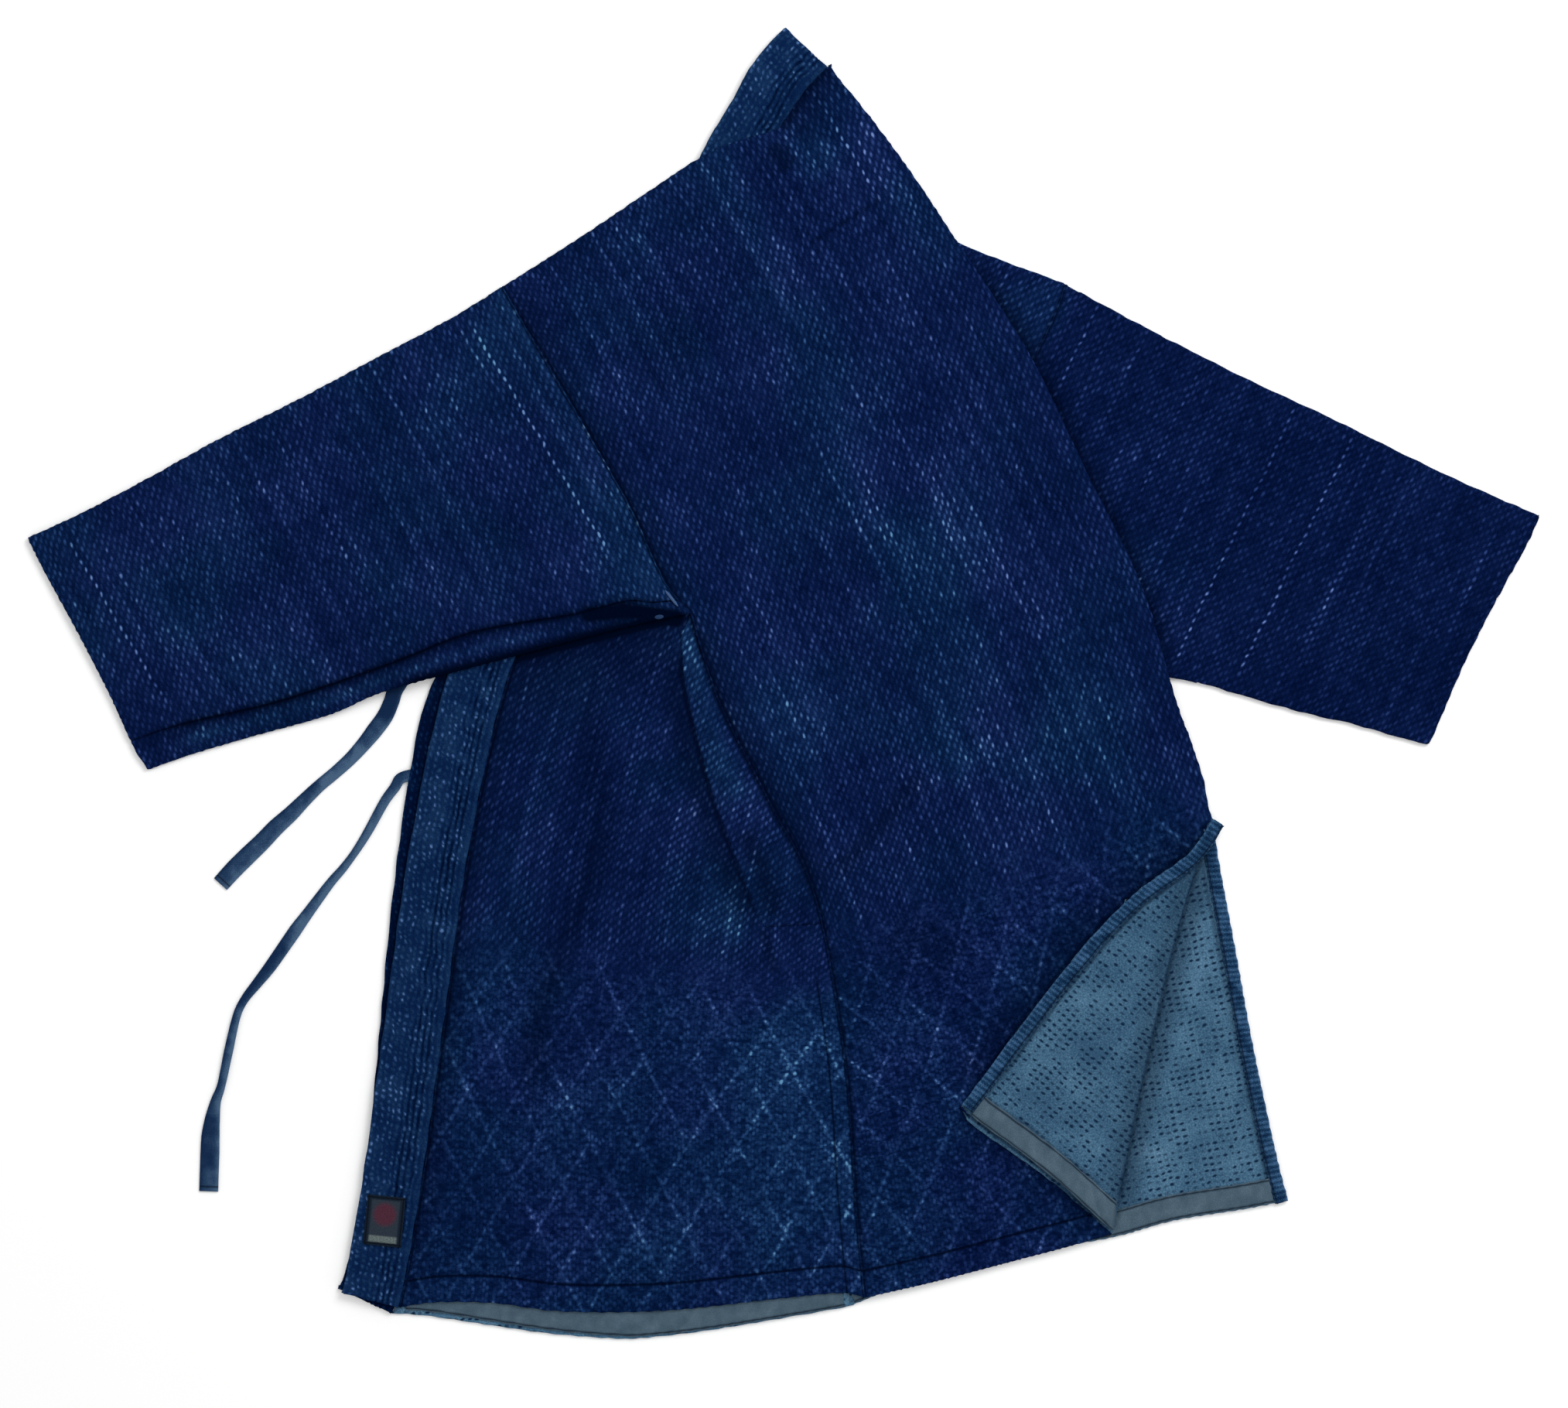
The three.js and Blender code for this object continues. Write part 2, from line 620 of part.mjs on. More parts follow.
const labelCorners = [[-1, -1], [1, -1], [1, 1], [-1, 1]].map(([u, v]) => {
  const corner = new THREE.Vector2((u * LABEL_SIZE[0]) / 2, (v * LABEL_SIZE[1]) / 2);
  corner.rotateAround(new THREE.Vector2(), LABEL_AT.turn);
  return [LABEL_AT.x + corner.x, LABEL_AT.y + corner.y];
});
const label = cover(labelCorners, bandLeftTop);

// The jacket

const PIECES = [
  ["front_right", frontRight, COLOUR.cloth],
  ["collar_right", bandRight.solid, COLOUR.band],
  ["sleeve_right", sleeveRight, COLOUR.cloth],
  ["back_right", backRight, COLOUR.cloth],
  ["hem_tape_front_right", tapeFrontRight, COLOUR.tape],
  ["hem_tape_back_right", tapeBackRight, COLOUR.tape],
  ["vent_binding_right", bindingRight, COLOUR.binding],
  ["front_left", frontLeftPanel, COLOUR.cloth],
  ["collar_left", bandLeft.solid, COLOUR.band],
  ["tie_left", tieLeft, COLOUR.tie],
  ["tie_right", tieRight, COLOUR.tie],
  ["sleeve_left", sleeveLeft, COLOUR.cloth],
  ["back_left", backLeft, COLOUR.cloth],
  ["vent_binding_left", bindingLeft, COLOUR.binding],
  ["hem_tape_back_left", tapeBackLeft, COLOUR.tape],
  ["label", label, COLOUR.label],
];

// Cuts leave crumbs where two edges meet, and the piece is its largest body
function largestBody(solid) {
  return solid.decompose().reduce((most, body) => (body.volume() > most.volume() ? body : most));
}

function meshOf(name, solid, finish) {
  const { numProp, vertProperties, triVerts } = largestBody(solid.simplify(FLATTEN)).getMesh();
  const positions = new THREE.BufferAttribute(new Float32Array(vertProperties), numProp);
  const geometry = new THREE.BufferGeometry().setAttribute("position", positions);
  geometry.setIndex(new THREE.BufferAttribute(new Uint32Array(triVerts), 1));
  const mesh = new THREE.Mesh(geometry, new THREE.MeshStandardMaterial(finish));
  mesh.name = name;
  return mesh;
}

const jacket = new THREE.Group();
for (const [name, solid, finish] of PIECES) jacket.add(meshOf(name, solid, finish));

// The origin is on the floor under the middle of the jacket
const middle = new THREE.Box3().setFromObject(jacket).getCenter(new THREE.Vector3());
jacket.position.set(-middle.x, -middle.y, 0);

const model = new THREE.Group();
model.add(jacket);

export default model;
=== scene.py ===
# %% [markdown]
# # A sashiko jacket, laid out flat
#
# The real thing is a jacket of thick indigo cotton, woven with rows of raised floats that look like
# grains of rice, and with a pattern of diamonds in the skirt. It lies on its front. The left half
# is on top, the right half is turned under at the centre back, and one corner of the back vent is
# folded up. The plain solids of all its pieces are already there. They could be given a material
# as they are, but they are thick and faceted. So this lesson lays a thin soft shell on each of
# them, with its seams, its creases and its cloth.

# %% Load the frame
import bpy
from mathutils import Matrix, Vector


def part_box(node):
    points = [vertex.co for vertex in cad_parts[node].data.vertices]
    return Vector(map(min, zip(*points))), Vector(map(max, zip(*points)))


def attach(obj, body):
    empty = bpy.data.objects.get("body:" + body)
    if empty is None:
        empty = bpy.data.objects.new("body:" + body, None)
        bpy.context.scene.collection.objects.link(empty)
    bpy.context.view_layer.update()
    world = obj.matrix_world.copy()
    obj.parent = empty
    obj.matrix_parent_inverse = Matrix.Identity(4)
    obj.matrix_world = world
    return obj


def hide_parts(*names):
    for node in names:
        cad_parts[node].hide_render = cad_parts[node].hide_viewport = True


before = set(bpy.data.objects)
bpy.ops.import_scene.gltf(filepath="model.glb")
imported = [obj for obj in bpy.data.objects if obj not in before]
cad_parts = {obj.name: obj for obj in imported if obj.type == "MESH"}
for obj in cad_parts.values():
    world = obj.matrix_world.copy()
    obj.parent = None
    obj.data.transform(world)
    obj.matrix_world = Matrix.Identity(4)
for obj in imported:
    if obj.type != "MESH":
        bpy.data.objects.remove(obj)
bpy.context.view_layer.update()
print("solids:", sorted(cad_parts))

# %% Tools and units
import math

import bmesh
import bpy
import numpy as np
from mathutils import Vector
from mathutils.bvhtree import BVHTree

MM = 0.001

# %% [markdown]
# ## The sizes of the cloth
#
# Every size is a real one in millimetres, and a size that several pieces share is written once.
# The cloth is a thick double weave. The collar band is quilted from several layers, and the tapes
# and bindings are thin cotton. A fold of this cloth has a radius of about its own thickness, and
# a hem, which is pressed flat, has a smaller one.

# %% Sizes of the pieces
CLOTH = 2.0
COLLAR_THICK = 3.0
TAPE = 1.0
GAP = 0.3
COLLAR_WIDTH = 45.0
HEM_TAPE_WIDTH = 20.0
FLAP_TAPE_WIDTH = 18.0
BINDING_WIDTH = 10.0
LABEL_SIZE = (29.0, 38.0)
FOLD_RADIUS = 2.3
HEM_RADIUS = 1.4
HEM_STITCH = 20.5
FELLED_BAND = 12.0

# %% [markdown]
# ## The edges
#
# A piece of cloth is known by its edges. Each edge here is a few points that a smooth line runs
# through, in the jacket's own plane: x to the right, y towards the neck. Curves drawn in the
# editor could do the same, but lines in a script can be shared: two pieces that are sewn together
# use the same edge, so they can't drift apart. The landmarks are points where edges meet, so each
# is written once.

# %% Landmarks
NECK_FOLD = (37, 474)
NECK_SIDE = (-3, 424)
SHOULDER_LEFT = (-215, 304)
UNDERARM_LEFT = (-70, 54)
SIDE_HEM_LEFT = (62.5, -470)
COLLAR_FOOT = (-292, -472)
FLAP_TURN = (252, -421)
FLAP_CORNER = (137, -322)
VENT_TOP = (329, -103)
CUFF_TOP_LEFT = (-578.5, 112)
CUFF_LOW_LEFT = (-486, -66)
SHOULDER_RIGHT = (217, 306)
UNDERARM_RIGHT = (91, 51)
SIDE_HEM_RIGHT = (51, -477)
VENT_TOP_RIGHT = (332, -108)
VENT_HEM_RIGHT = (387, -396)
COLLAR_FOOT_RIGHT = (-294, -480)
CUFF_TOP_RIGHT = (579.5, 129)
CUFF_LOW_RIGHT = (495, -46)
TURN_TOP = (30, 280)
SHOULDER_TOP = (58, 375)
COLLAR_CROSSING = (-148, 190)
PLEAT_TOP = (-78, 37)
PLEAT_LOW = (-16, -186)

# %% A smooth line through points
STEPS_BETWEEN = 24


def smooth(*points):
    """A smooth line through some points (a Catmull-Rom spline), as an array of close points."""
    p = np.array(points, float)
    p = np.vstack([p[:1], p, p[-1:]])
    t = np.linspace(0, 1, STEPS_BETWEEN, endpoint=False)[:, None]
    runs = []
    for a, b, c, d in zip(p, p[1:], p[2:], p[3:]):
        first = (2 * t**2 - t - t**3) * a + (2 - 5 * t**2 + 3 * t**3) * b
        runs.append((first + (t + 4 * t**2 - 3 * t**3) * c + (t**3 - t**2) * d) / 2)
    return np.vstack([*runs, p[-1:]])


def back(line):
    """The same line from its end to its start."""
    return line[::-1]


def joined(*lines):
    """Lines one after the other, as one."""
    return np.vstack(lines)


# %% The edges of the panels
EDGE = {
    "shoulder_left": smooth(NECK_SIDE, (-36, 414), (-64, 402), (-101, 378), (-149, 346),
                            SHOULDER_LEFT),
    "armhole_left": joined(
        smooth(SHOULDER_LEFT, (-200, 278), COLLAR_CROSSING),
        smooth(COLLAR_CROSSING, (-117, 135), (-91, 79), UNDERARM_LEFT),
    ),
    "side_left": smooth(UNDERARM_LEFT, (-49, -13), (-10, -91), (24, -161), (47, -284), (56, -400),
                        SIDE_HEM_LEFT),
    "hem_front_left": smooth(COLLAR_FOOT, (-262, -468.5), (-218, -470), (-167, -477), (-90, -477.5),
                             (-1, -469.5), (45, -466), SIDE_HEM_LEFT),
    "hem_back_left": smooth(SIDE_HEM_LEFT, (113, -458.5), (148, -449.5), (182, -440.5), (218, -431),
                            FLAP_TURN),
    "vent_turn": smooth(FLAP_TURN, (274, -314), (300, -200), VENT_TOP),
    "centre_back": smooth(VENT_TOP, (325.6, -92.5), (323, -76), (318, -60), (311, -40), (300, -10),
                          (274, 76), (232, 162), (189, 251), (134, 337), (103, 384), (69, 431),
                          (41, 465), NECK_FOLD),
    "neck_seam": smooth(NECK_FOLD, (18, 454), NECK_SIDE),
    "flap_vent": smooth(VENT_TOP, (310, -130), (263, -166), (212, -223), FLAP_CORNER),
    "flap_hem": smooth(FLAP_CORNER, (142, -331), (202, -376), FLAP_TURN),
    "vent_right": smooth(VENT_TOP_RIGHT, (332.5, -128), (347, -207), (358, -268), (369, -321),
                         (379, -366), VENT_HEM_RIGHT),
    "hem_back_right": smooth(VENT_HEM_RIGHT, (354, -402.5), (312, -409), (289, -414), (251, -424.5),
                             (182, -437), (113, -453), SIDE_HEM_RIGHT),
    "hem_front_right": smooth(SIDE_HEM_RIGHT, (17, -483), (-54, -494.5), (-102, -500), (-125, -500.5),
                              (-173, -496.5), (-220, -489.5), (-268, -482), COLLAR_FOOT_RIGHT),
    "side_right": smooth(SIDE_HEM_RIGHT, (46, -246), (64, -69), UNDERARM_RIGHT),
    "turn_right": joined(smooth(UNDERARM_RIGHT, (58, 165), TURN_TOP), smooth(TURN_TOP, NECK_SIDE)),
    "shoulder_right": smooth(SHOULDER_TOP, (136, 337), SHOULDER_RIGHT),
    "armhole_right": smooth(SHOULDER_RIGHT, (193, 250), UNDERARM_RIGHT),
    "sleeve_top_left": smooth(SHOULDER_LEFT, (-256, 279), (-309, 251), (-371, 218), (-433, 187),
                              (-490, 155.5), (-540, 129.5), CUFF_TOP_LEFT),
    "cuff_left": smooth(CUFF_TOP_LEFT, (-565, 85), (-539, 37.5), (-515, -9.5), (-497, -49),
                        CUFF_LOW_LEFT),
    "sleeve_low_left": smooth(CUFF_LOW_LEFT, (-457, -55.5), (-412, -42), (-346, -23.5), (-304, -6),
                              (-209, 20), (-120, 43), UNDERARM_LEFT),
    "sleeve_top_right": smooth(SHOULDER_RIGHT, (230, 298.5), (289, 267), (360, 231.5), (431, 198),
                               (502, 163), (545, 143.5), CUFF_TOP_RIGHT),
    "cuff_right": smooth(CUFF_TOP_RIGHT, (571, 109), (545, 61.5), (521, 14), (501, -33),
                         CUFF_LOW_RIGHT),
    "sleeve_low_right": smooth(CUFF_LOW_RIGHT, (484, -44.5), (437, -31), (402, -23), (355, -10),
                               (320, 0.5), (296, 5), UNDERARM_RIGHT),
    "pleat": smooth(PLEAT_TOP, (-76, 5), (-69, -29), (-51, -94), PLEAT_LOW),
}

# %% The middle lines of the collar band
COLLAR = {
    "left": smooth((18, 487), (-2.6, 464.6), (-17, 439), (-34, 410.5), (-78, 328), (-126, 239),
                   (-178, 132), (-231, 14), (-262, -121), (-281, -251), (-297, -367), (-311, -451),
                   (-316, -471.5)),
    "right": smooth((18, 487), (-2.6, 464.6), (-14, 442), (-20, 415), (-22, 340), (-28, 260),
                    (-58, 190), (-110, 115), (-170, 60), (-225, 22), (-252, -20), (-268, -100),
                    (-279.3, -190), (-285, -251), (-296.5, -367), (-312, -451), (-320, -472)),
}
print("edges:", len(EDGE), "and collar lines:", len(COLLAR))


# %% Walking along a line
TINY = 1e-6


def length_along(line):
    """How far along the line each of its points is."""
    return np.concatenate([[0], np.cumsum(np.linalg.norm(np.diff(line, axis=0), axis=1))])


def walk(line, shares):
    """The points at some shares of a line's length."""
    run = length_along(line)
    return np.stack([np.interp(shares, run / run[-1], line[:, k]) for k in range(2)], axis=-1)


def beside(line, distance):
    """A line moved sideways, to its left for a positive distance, without loops at tight bends."""
    ahead = np.gradient(line, axis=0)
    ahead = ahead / np.maximum(np.linalg.norm(ahead, axis=1), TINY)[:, None]
    moved = line + distance * np.column_stack([-ahead[:, 1], ahead[:, 0]])
    kept = [0]
    for k in range(1, len(moved)):
        if (moved[k] - moved[kept[-1]]) @ ahead[k] > 0:
            kept.append(k)
    return moved[kept]


def between(line, low=-np.inf, high=np.inf):
    """The part of a line whose y lies between two values."""
    return line[(line[:, 1] > low) & (line[:, 1] < high)]


# %% [markdown]
# ## How high the cloth lies
#
# Each solid already lies on the ones below it. A Shrinkwrap modifier could lay the cloth on it,
# but it would copy the solid's flat facets. So a ray falls on the solid at each point of a grid
# and gives the height there. Real cloth has no facets, so the heights are blurred a little, and
# they are carried on past the outline so that an edge finds a height too.

# %% Heights of a solid
GRID_STEP = 6.0
GRID_MARGIN = 30.0
BLUR_PASSES = 3
CLEAR_OF_ALL = 1.0
WITHIN_GRID = 1.001


def neighbours(z):
    """Each grid point with its eight neighbours, stacked."""
    wide = np.pad(z, 1, mode="edge")
    rows, columns = z.shape
    return np.stack([wide[j:j + rows, i:i + columns] for j in range(3) for i in range(3)])


def relief(node, upper):
    """A function that gives the height of a solid's upper or lower side, in millimetres."""
    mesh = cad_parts[node].data
    tree = BVHTree.FromPolygons([v.co for v in mesh.vertices], [p.vertices for p in mesh.polygons])
    low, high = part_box(node)
    x0, y0 = low.x / MM - GRID_MARGIN, low.y / MM - GRID_MARGIN
    xs = np.arange(x0, high.x / MM + GRID_MARGIN, GRID_STEP)
    ys = np.arange(y0, high.y / MM + GRID_MARGIN, GRID_STEP)
    start, way = (CLEAR_OF_ALL, -1.0) if upper else (-CLEAR_OF_ALL, 1.0)
    z = np.full((len(ys), len(xs)), np.nan)
    for j, y in enumerate(ys):
        for i, x in enumerate(xs):
            hit = tree.ray_cast((x * MM, y * MM, start), (0, 0, way))[0]
            if hit:
                z[j, i] = hit.z / MM
    while np.isnan(z).any():
        near = neighbours(z)
        known = ~np.isnan(near)
        mean = np.where(known, near, 0).sum(axis=0) / np.maximum(known.sum(axis=0), 1)
        z = np.where(np.isnan(z) & known.any(axis=0), mean, z)
    for _ in range(BLUR_PASSES):
        z = neighbours(z).mean(axis=0)

    def height(points):
        """The height at each point, between the four grid points round it."""
        # A point past the grid takes the height at its rim.
        u = np.clip((points[..., 0] - x0) / GRID_STEP, 0, z.shape[1] - WITHIN_GRID)
        v = np.clip((points[..., 1] - y0) / GRID_STEP, 0, z.shape[0] - WITHIN_GRID)
        i, j = u.astype(int), v.astype(int)
        s, t = u - i, v - j
        low_row = z[j, i] * (1 - s) + z[j, i + 1] * s
        return low_row * (1 - t) + (z[j + 1, i] * (1 - s) + z[j + 1, i + 1] * s) * t

    return height


# %% [markdown]
# ## Distances from a line
#
# Nearly all that happens on cloth happens beside a line: a seam, a fold, a crease, a thread. It
# could be painted on by hand, but then the shape and the colour of a seam would have to be made to
# match. So one function tells how far each point lies from a line, on which side, and how far
# along, and both the shape and the colour are worked out from that.

# %% Beside a line
def beside_line(points, line, open_ended=False):
    """Distance from a line, positive on its left, and distance along it."""
    flat = points.reshape(-1, 2)
    size = np.linalg.norm(np.diff(line, axis=0), axis=1)
    keep = np.concatenate([[True], size > TINY])
    line = line[keep]
    size = size[size > TINY]
    way = np.diff(line, axis=0) / size[:, None]
    before = length_along(line)[:-1]
    best = np.full(len(flat), np.inf)
    side, along = np.zeros(len(flat)), np.zeros(len(flat))
    for k, (x, y) in enumerate(way):
        offset = flat - line[k]
        run = offset @ way[k]
        first = -np.inf if open_ended and k == 0 else 0
        last = np.inf if open_ended and k == len(way) - 1 else size[k]
        held = np.clip(run, first, last)
        miss = np.linalg.norm(offset - held[:, None] * way[k], axis=1)
        nearer = miss < best
        best = np.where(nearer, miss, best)
        left = np.where(offset @ np.array([-y, x]) < 0, -1, 1)
        side = np.where(nearer, left * miss, side)
        along = np.where(nearer, before[k] + held, along)
    return side.reshape(points.shape[:-1]), along.reshape(points.shape[:-1])


RIDGE_POINTS = 30
DYING_SHARE = 0.1


def ridge(points, line, half_width):
    """1 on a line, 0 from half_width away, and dying out at the line's two ends."""
    line = walk(line, np.linspace(0, 1, RIDGE_POINTS))
    side, along = beside_line(points, line)
    near = np.clip(1 - np.abs(side) / half_width, 0, 1)
    share = along / length_along(line)[-1]
    ends = np.clip(np.minimum(share, 1 - share) / DYING_SHARE, 0, 1)
    return near * near * (3 - 2 * near) * ends


# %% [markdown]
# ## One maker for all the panels
#
# A panel is a grid that is stretched between four edges. A cloth simulation could drape it, but it
# would not stop where the real cloth lies. The grid is even in the middle, and near an edge it has
# extra rows at the distances where something is sewn. A feature says what happens at a distance
# from one side: a fold rounds the edge down, a hem rounds it less, a step lifts the band that is
# felled there, a stitch draws the cloth in and marks where the thread runs, and a worn edge has
# lost some of its dye. It is written as side, kind, distance in millimetres and amount, and may
# have a function that limits it to a part of the side.

# %% Features along the sides
ROUND_STATIONS = (0.15, 0.5, 1.1, 1.9)
STITCH_DIP = 1.0
STITCH_SHADE = 0.75
STEP_RUN = 1.6
OFFSETS = {
    "fold": ROUND_STATIONS,
    "hem": ROUND_STATIONS,
    "stitch": (-1.5, -0.7, 0, 0.7, 1.5),
    "step": (-STEP_RUN / 2, 0, STEP_RUN / 2),
    "worn": (),
}


def stations(features, side):
    """The distances from a side at which its features need a row of the grid."""
    found = {0.0}
    for where, kind, distance, *_ in features:
        if where == side:
            found |= {distance + offset for offset in OFFSETS[kind]}
    return np.array(sorted(round(d, 2) for d in found if d >= 0))


def shaped(points, away, features):
    """What the features do: how much they lift the cloth, darken it and wear it."""
    lift, dark, worn = np.zeros((3, *away["low"].shape))
    for side, kind, distance, amount, *limit in features:
        d = away[side]
        part = limit[0](points) if limit else 1.0
        if kind in ("fold", "hem"):
            radius = FOLD_RADIUS if kind == "fold" else HEM_RADIUS
            inside = np.clip(1 - d / radius, 0, 1)
            lift -= part * amount * (1 - np.sqrt(1 - inside**2))
        if kind == "stitch":
            lift -= part * amount * np.exp(-(((d - distance) / STITCH_DIP) ** 2))
            dark = np.maximum(dark, part * np.exp(-(((d - distance) / STITCH_SHADE) ** 2)))
        if kind == "step":
            lift += part * amount * np.clip((distance + STEP_RUN / 2 - d) / STEP_RUN, 0, 1)
        if kind == "worn":
            worn += part * amount * np.exp(-((d / distance) ** 2))
    return lift, dark, worn


# %% The grid of a panel
FIXED_ROWS_SHARE = 0.9


def spread(first, last, length, count):
    """Distances along a length: fixed ones near both ends, closer if need be, and even ones between."""
    room = first[-1] + last[-1]
    fit = np.minimum(1, FIXED_ROWS_SHARE * length / room) if room else 1
    a, b = first * fit, length - last[::-1] * fit
    return np.concatenate([a, np.linspace(a[-1], b[0], count + 2)[1:-1], b])


def count_between(first, last, length, step):
    """How many even rows fit between the fixed ones."""
    return max(1, int((length - first[-1] - last[-1]) / step))


def gap_between(a, b):
    """The distance between points, never quite 0."""
    return np.maximum(np.linalg.norm(a - b, axis=-1), TINY)


def stretched(left, right, low, high, features=(), step=3.0):
    """The points of a panel between four edges, and how far each lies from each side."""
    side = {name: stations(features, name) for name in ("left", "right", "low", "high")}
    width = max(length_along(low)[-1], length_along(high)[-1], gap_between(left, right[:1]).min())
    height = (length_along(left)[-1] + length_along(right)[-1]) / 2
    across = count_between(side["left"], side["right"], width, step)
    along = count_between(side["low"], side["high"], height, step)
    t_row = spread(side["low"], side["high"], height, along) / height
    s_column = spread(side["left"], side["right"], width, across) / width
    widths = gap_between(walk(left, t_row), walk(right, t_row))
    heights = gap_between(walk(low, s_column), walk(high, s_column))
    s = np.array([spread(side["left"], side["right"], w, across) / w for w in widths])
    t = np.array([spread(side["low"], side["high"], h, along) / h for h in heights]).T
    s_, t_ = s[..., None], t[..., None]
    points = (
        (1 - t_) * walk(low, s) + t_ * walk(high, s) + (1 - s_) * walk(left, t) + s_ * walk(right, t)
        - (1 - s_) * (1 - t_) * low[0] - s_ * (1 - t_) * low[-1]
        - (1 - s_) * t_ * high[0] - s_ * t_ * high[-1]
    )
    away = {
        "left": s * widths[:, None],
        "right": (1 - s) * widths[:, None],
        "low": t * heights,
        "high": (1 - t) * heights,
    }
    return points, away


# %% [markdown]
# ## Where the threads run
#
# The weave follows the cloth, not the table. Blender's own unwrap would follow the outline of the
# mesh, which was cut across the threads. So each panel has a spine, a line that its warp threads
# follow, and the panel's UV map is measured from it in millimetres: v runs down the spine, u
# across it. A panel that is bent where it lies gets a bent spine.

# %% Spines
SPINE_POINTS = 80


def bent(start, length, *angles):
    """A line that starts at a point and turns evenly through some angles, in degrees."""
    run = np.linspace(0, 1, SPINE_POINTS)
    angle = np.radians(np.interp(run, np.linspace(0, 1, len(angles)), angles))
    steps = np.column_stack([np.cos(angle), np.sin(angle)]) * length / (SPINE_POINTS - 1)
    return np.array(start) + np.vstack([[0, 0], np.cumsum(steps[:-1], axis=0)])


def on_spine(points, spine):
    """Where each point lies on the cloth laid flat: across the spine and along it."""
    side, along = beside_line(points, spine, open_ended=True)
    return np.stack([side, along], axis=-1)


# %% [markdown]
# ## Soft unevenness
#
# Cloth that lies on cloth is never quite flat. A Displace modifier with a cloud texture could add
# waves, but it can't tell where the real cloth creases. So creases are placed one by one, as soft
# ridges and troughs along lines, and slow waves of a fraction of a millimetre break up what is
# left. Creases are written as line, half width and height. Deep ones catch little light, and so do
# seams and cloth under another layer, so shades (line, half width, amount) darken them as painted
# shade. Places that rub are paler, in round patches (x, y, radius, amount) or in streaks (line, half
# width, amount), and a few streaks are painted highlights on a ridge, or painted highlight and
# shade where a tie turns.

# %% Waves and the finished surface of a panel
WAVELENGTHS = (210, 150, 96, 70, 52)


def waves(points, height, seed):
    """Slow waves, never below 0."""
    rng = np.random.default_rng(seed)
    total = np.zeros(points.shape[:-1])
    for wavelength in WAVELENGTHS:
        angle, phase = rng.uniform(0, 2 * math.pi, 2)
        way = np.array([math.cos(angle), math.sin(angle)])
        total += np.sin(2 * math.pi * (points @ way) / wavelength + phase)
    return height * (0.5 + 0.5 * total / len(WAVELENGTHS))


def settled(points, away, features, weave, creases=(), shades=(), fades=(), streaks=(),
            faded=0.0, wave=0.3, seed=1):
    """The lift of a panel over its height, and the layers that its vertices carry."""
    lift, dark, fade = shaped(points, away, features)
    # A shift of the whole panel's tone: paler where it lost dye, darker where it kept more, and darker as
    # painted shade on the far half of the collar band.
    fade += faded
    lift += waves(points, wave, seed)
    for line, half_width, height in creases:
        lift += height * ridge(points, line, half_width)
    # Shades are painted shade: they darken creases, seams and cloth under another layer.
    for line, half_width, amount in shades:
        dark = np.maximum(dark, amount * ridge(points, line, half_width))
    for x, y, radius, amount in fades:
        miss = np.linalg.norm(points - np.array([x, y]), axis=-1)
        fade += amount * np.exp(-((miss / radius) ** 2))
    for line, half_width, amount in streaks:
        fade += amount * ridge(points, line, half_width)
    return lift, {"weave": weave, "dark": dark, "fade": fade}


# %% [markdown]
# ## Building a piece
#
# A piece of cloth is one or more grids in one mesh. bmesh makes each grid and its vertices are
# moved to where they lie. Each vertex also carries how much a thread or painted shade darkens the
# cloth there, and how pale it is from wear, with painted highlights and shades among these values.
# The wall of the cloth could be modelled as a second grid, but a Solidify modifier keeps it even,
# and puts the second material on its other side. The UV map is the cloth laid flat, so it also
# tells how large the piece was cut.

# %% A grid in a bmesh
def grid_into(bm, points, z, layers, material, facing=1):
    """Adds a grid to a bmesh, with the values that its vertices carry."""
    if not bm.loops.layers.uv:
        bm.loops.layers.uv.new("weave")
        bm.verts.layers.float.new("dark")
        bm.verts.layers.float.new("fade")
    uv = bm.loops.layers.uv["weave"]
    rows, columns = z.shape
    made = bmesh.ops.create_grid(bm, x_segments=columns - 1, y_segments=rows - 1, size=1)["verts"]
    made.sort(key=lambda v: (round(v.co.y, 6), round(v.co.x, 6)))
    place = {vert: k for k, vert in enumerate(made)}
    above_table = np.maximum(z, 0)  # nothing sinks into what the jacket lies on
    flat = np.dstack([points, above_table]).reshape(-1, 3) * MM
    for vert, k in place.items():
        vert.co = flat[k]
    for name in ("dark", "fade"):
        layer = bm.verts.layers.float[name]
        values = layers[name].ravel()
        for vert, k in place.items():
            vert[layer] = values[k]
    weave = layers["weave"].reshape(-1, 2)
    faces = {face for vert in made for face in vert.link_faces}
    for face in faces:
        face.smooth = True
        face.material_index = material
        for loop in face.loops:
            loop[uv].uv = weave[place[loop.vert]]
    bm.normal_update()
    if sum(face.normal.z for face in faces) * facing < 0:
        bmesh.ops.reverse_faces(bm, faces=list(faces))


def cut_of(parts):
    """The width, length and area of some panels laid flat, in metres."""
    flat = [part[2]["weave"] for part in parts]
    spots = np.vstack([w.reshape(-1, 2) for w in flat])
    width, length = np.ptp(spots, axis=0)
    area = 0
    for w in flat:
        a, b = w[1:, 1:] - w[:-1, :-1], w[1:, :-1] - w[:-1, 1:]
        area += np.abs(a[..., 0] * b[..., 1] - a[..., 1] * b[..., 0]).sum() / 2
    return width * MM, length * MM, area * MM * MM


# %% A piece of cloth
def placed(name, data):
    """A new object in the scene, for a mesh, a lamp or a camera."""
    made = bpy.data.objects.new(name, data)
    bpy.context.scene.collection.objects.link(made)
    return made


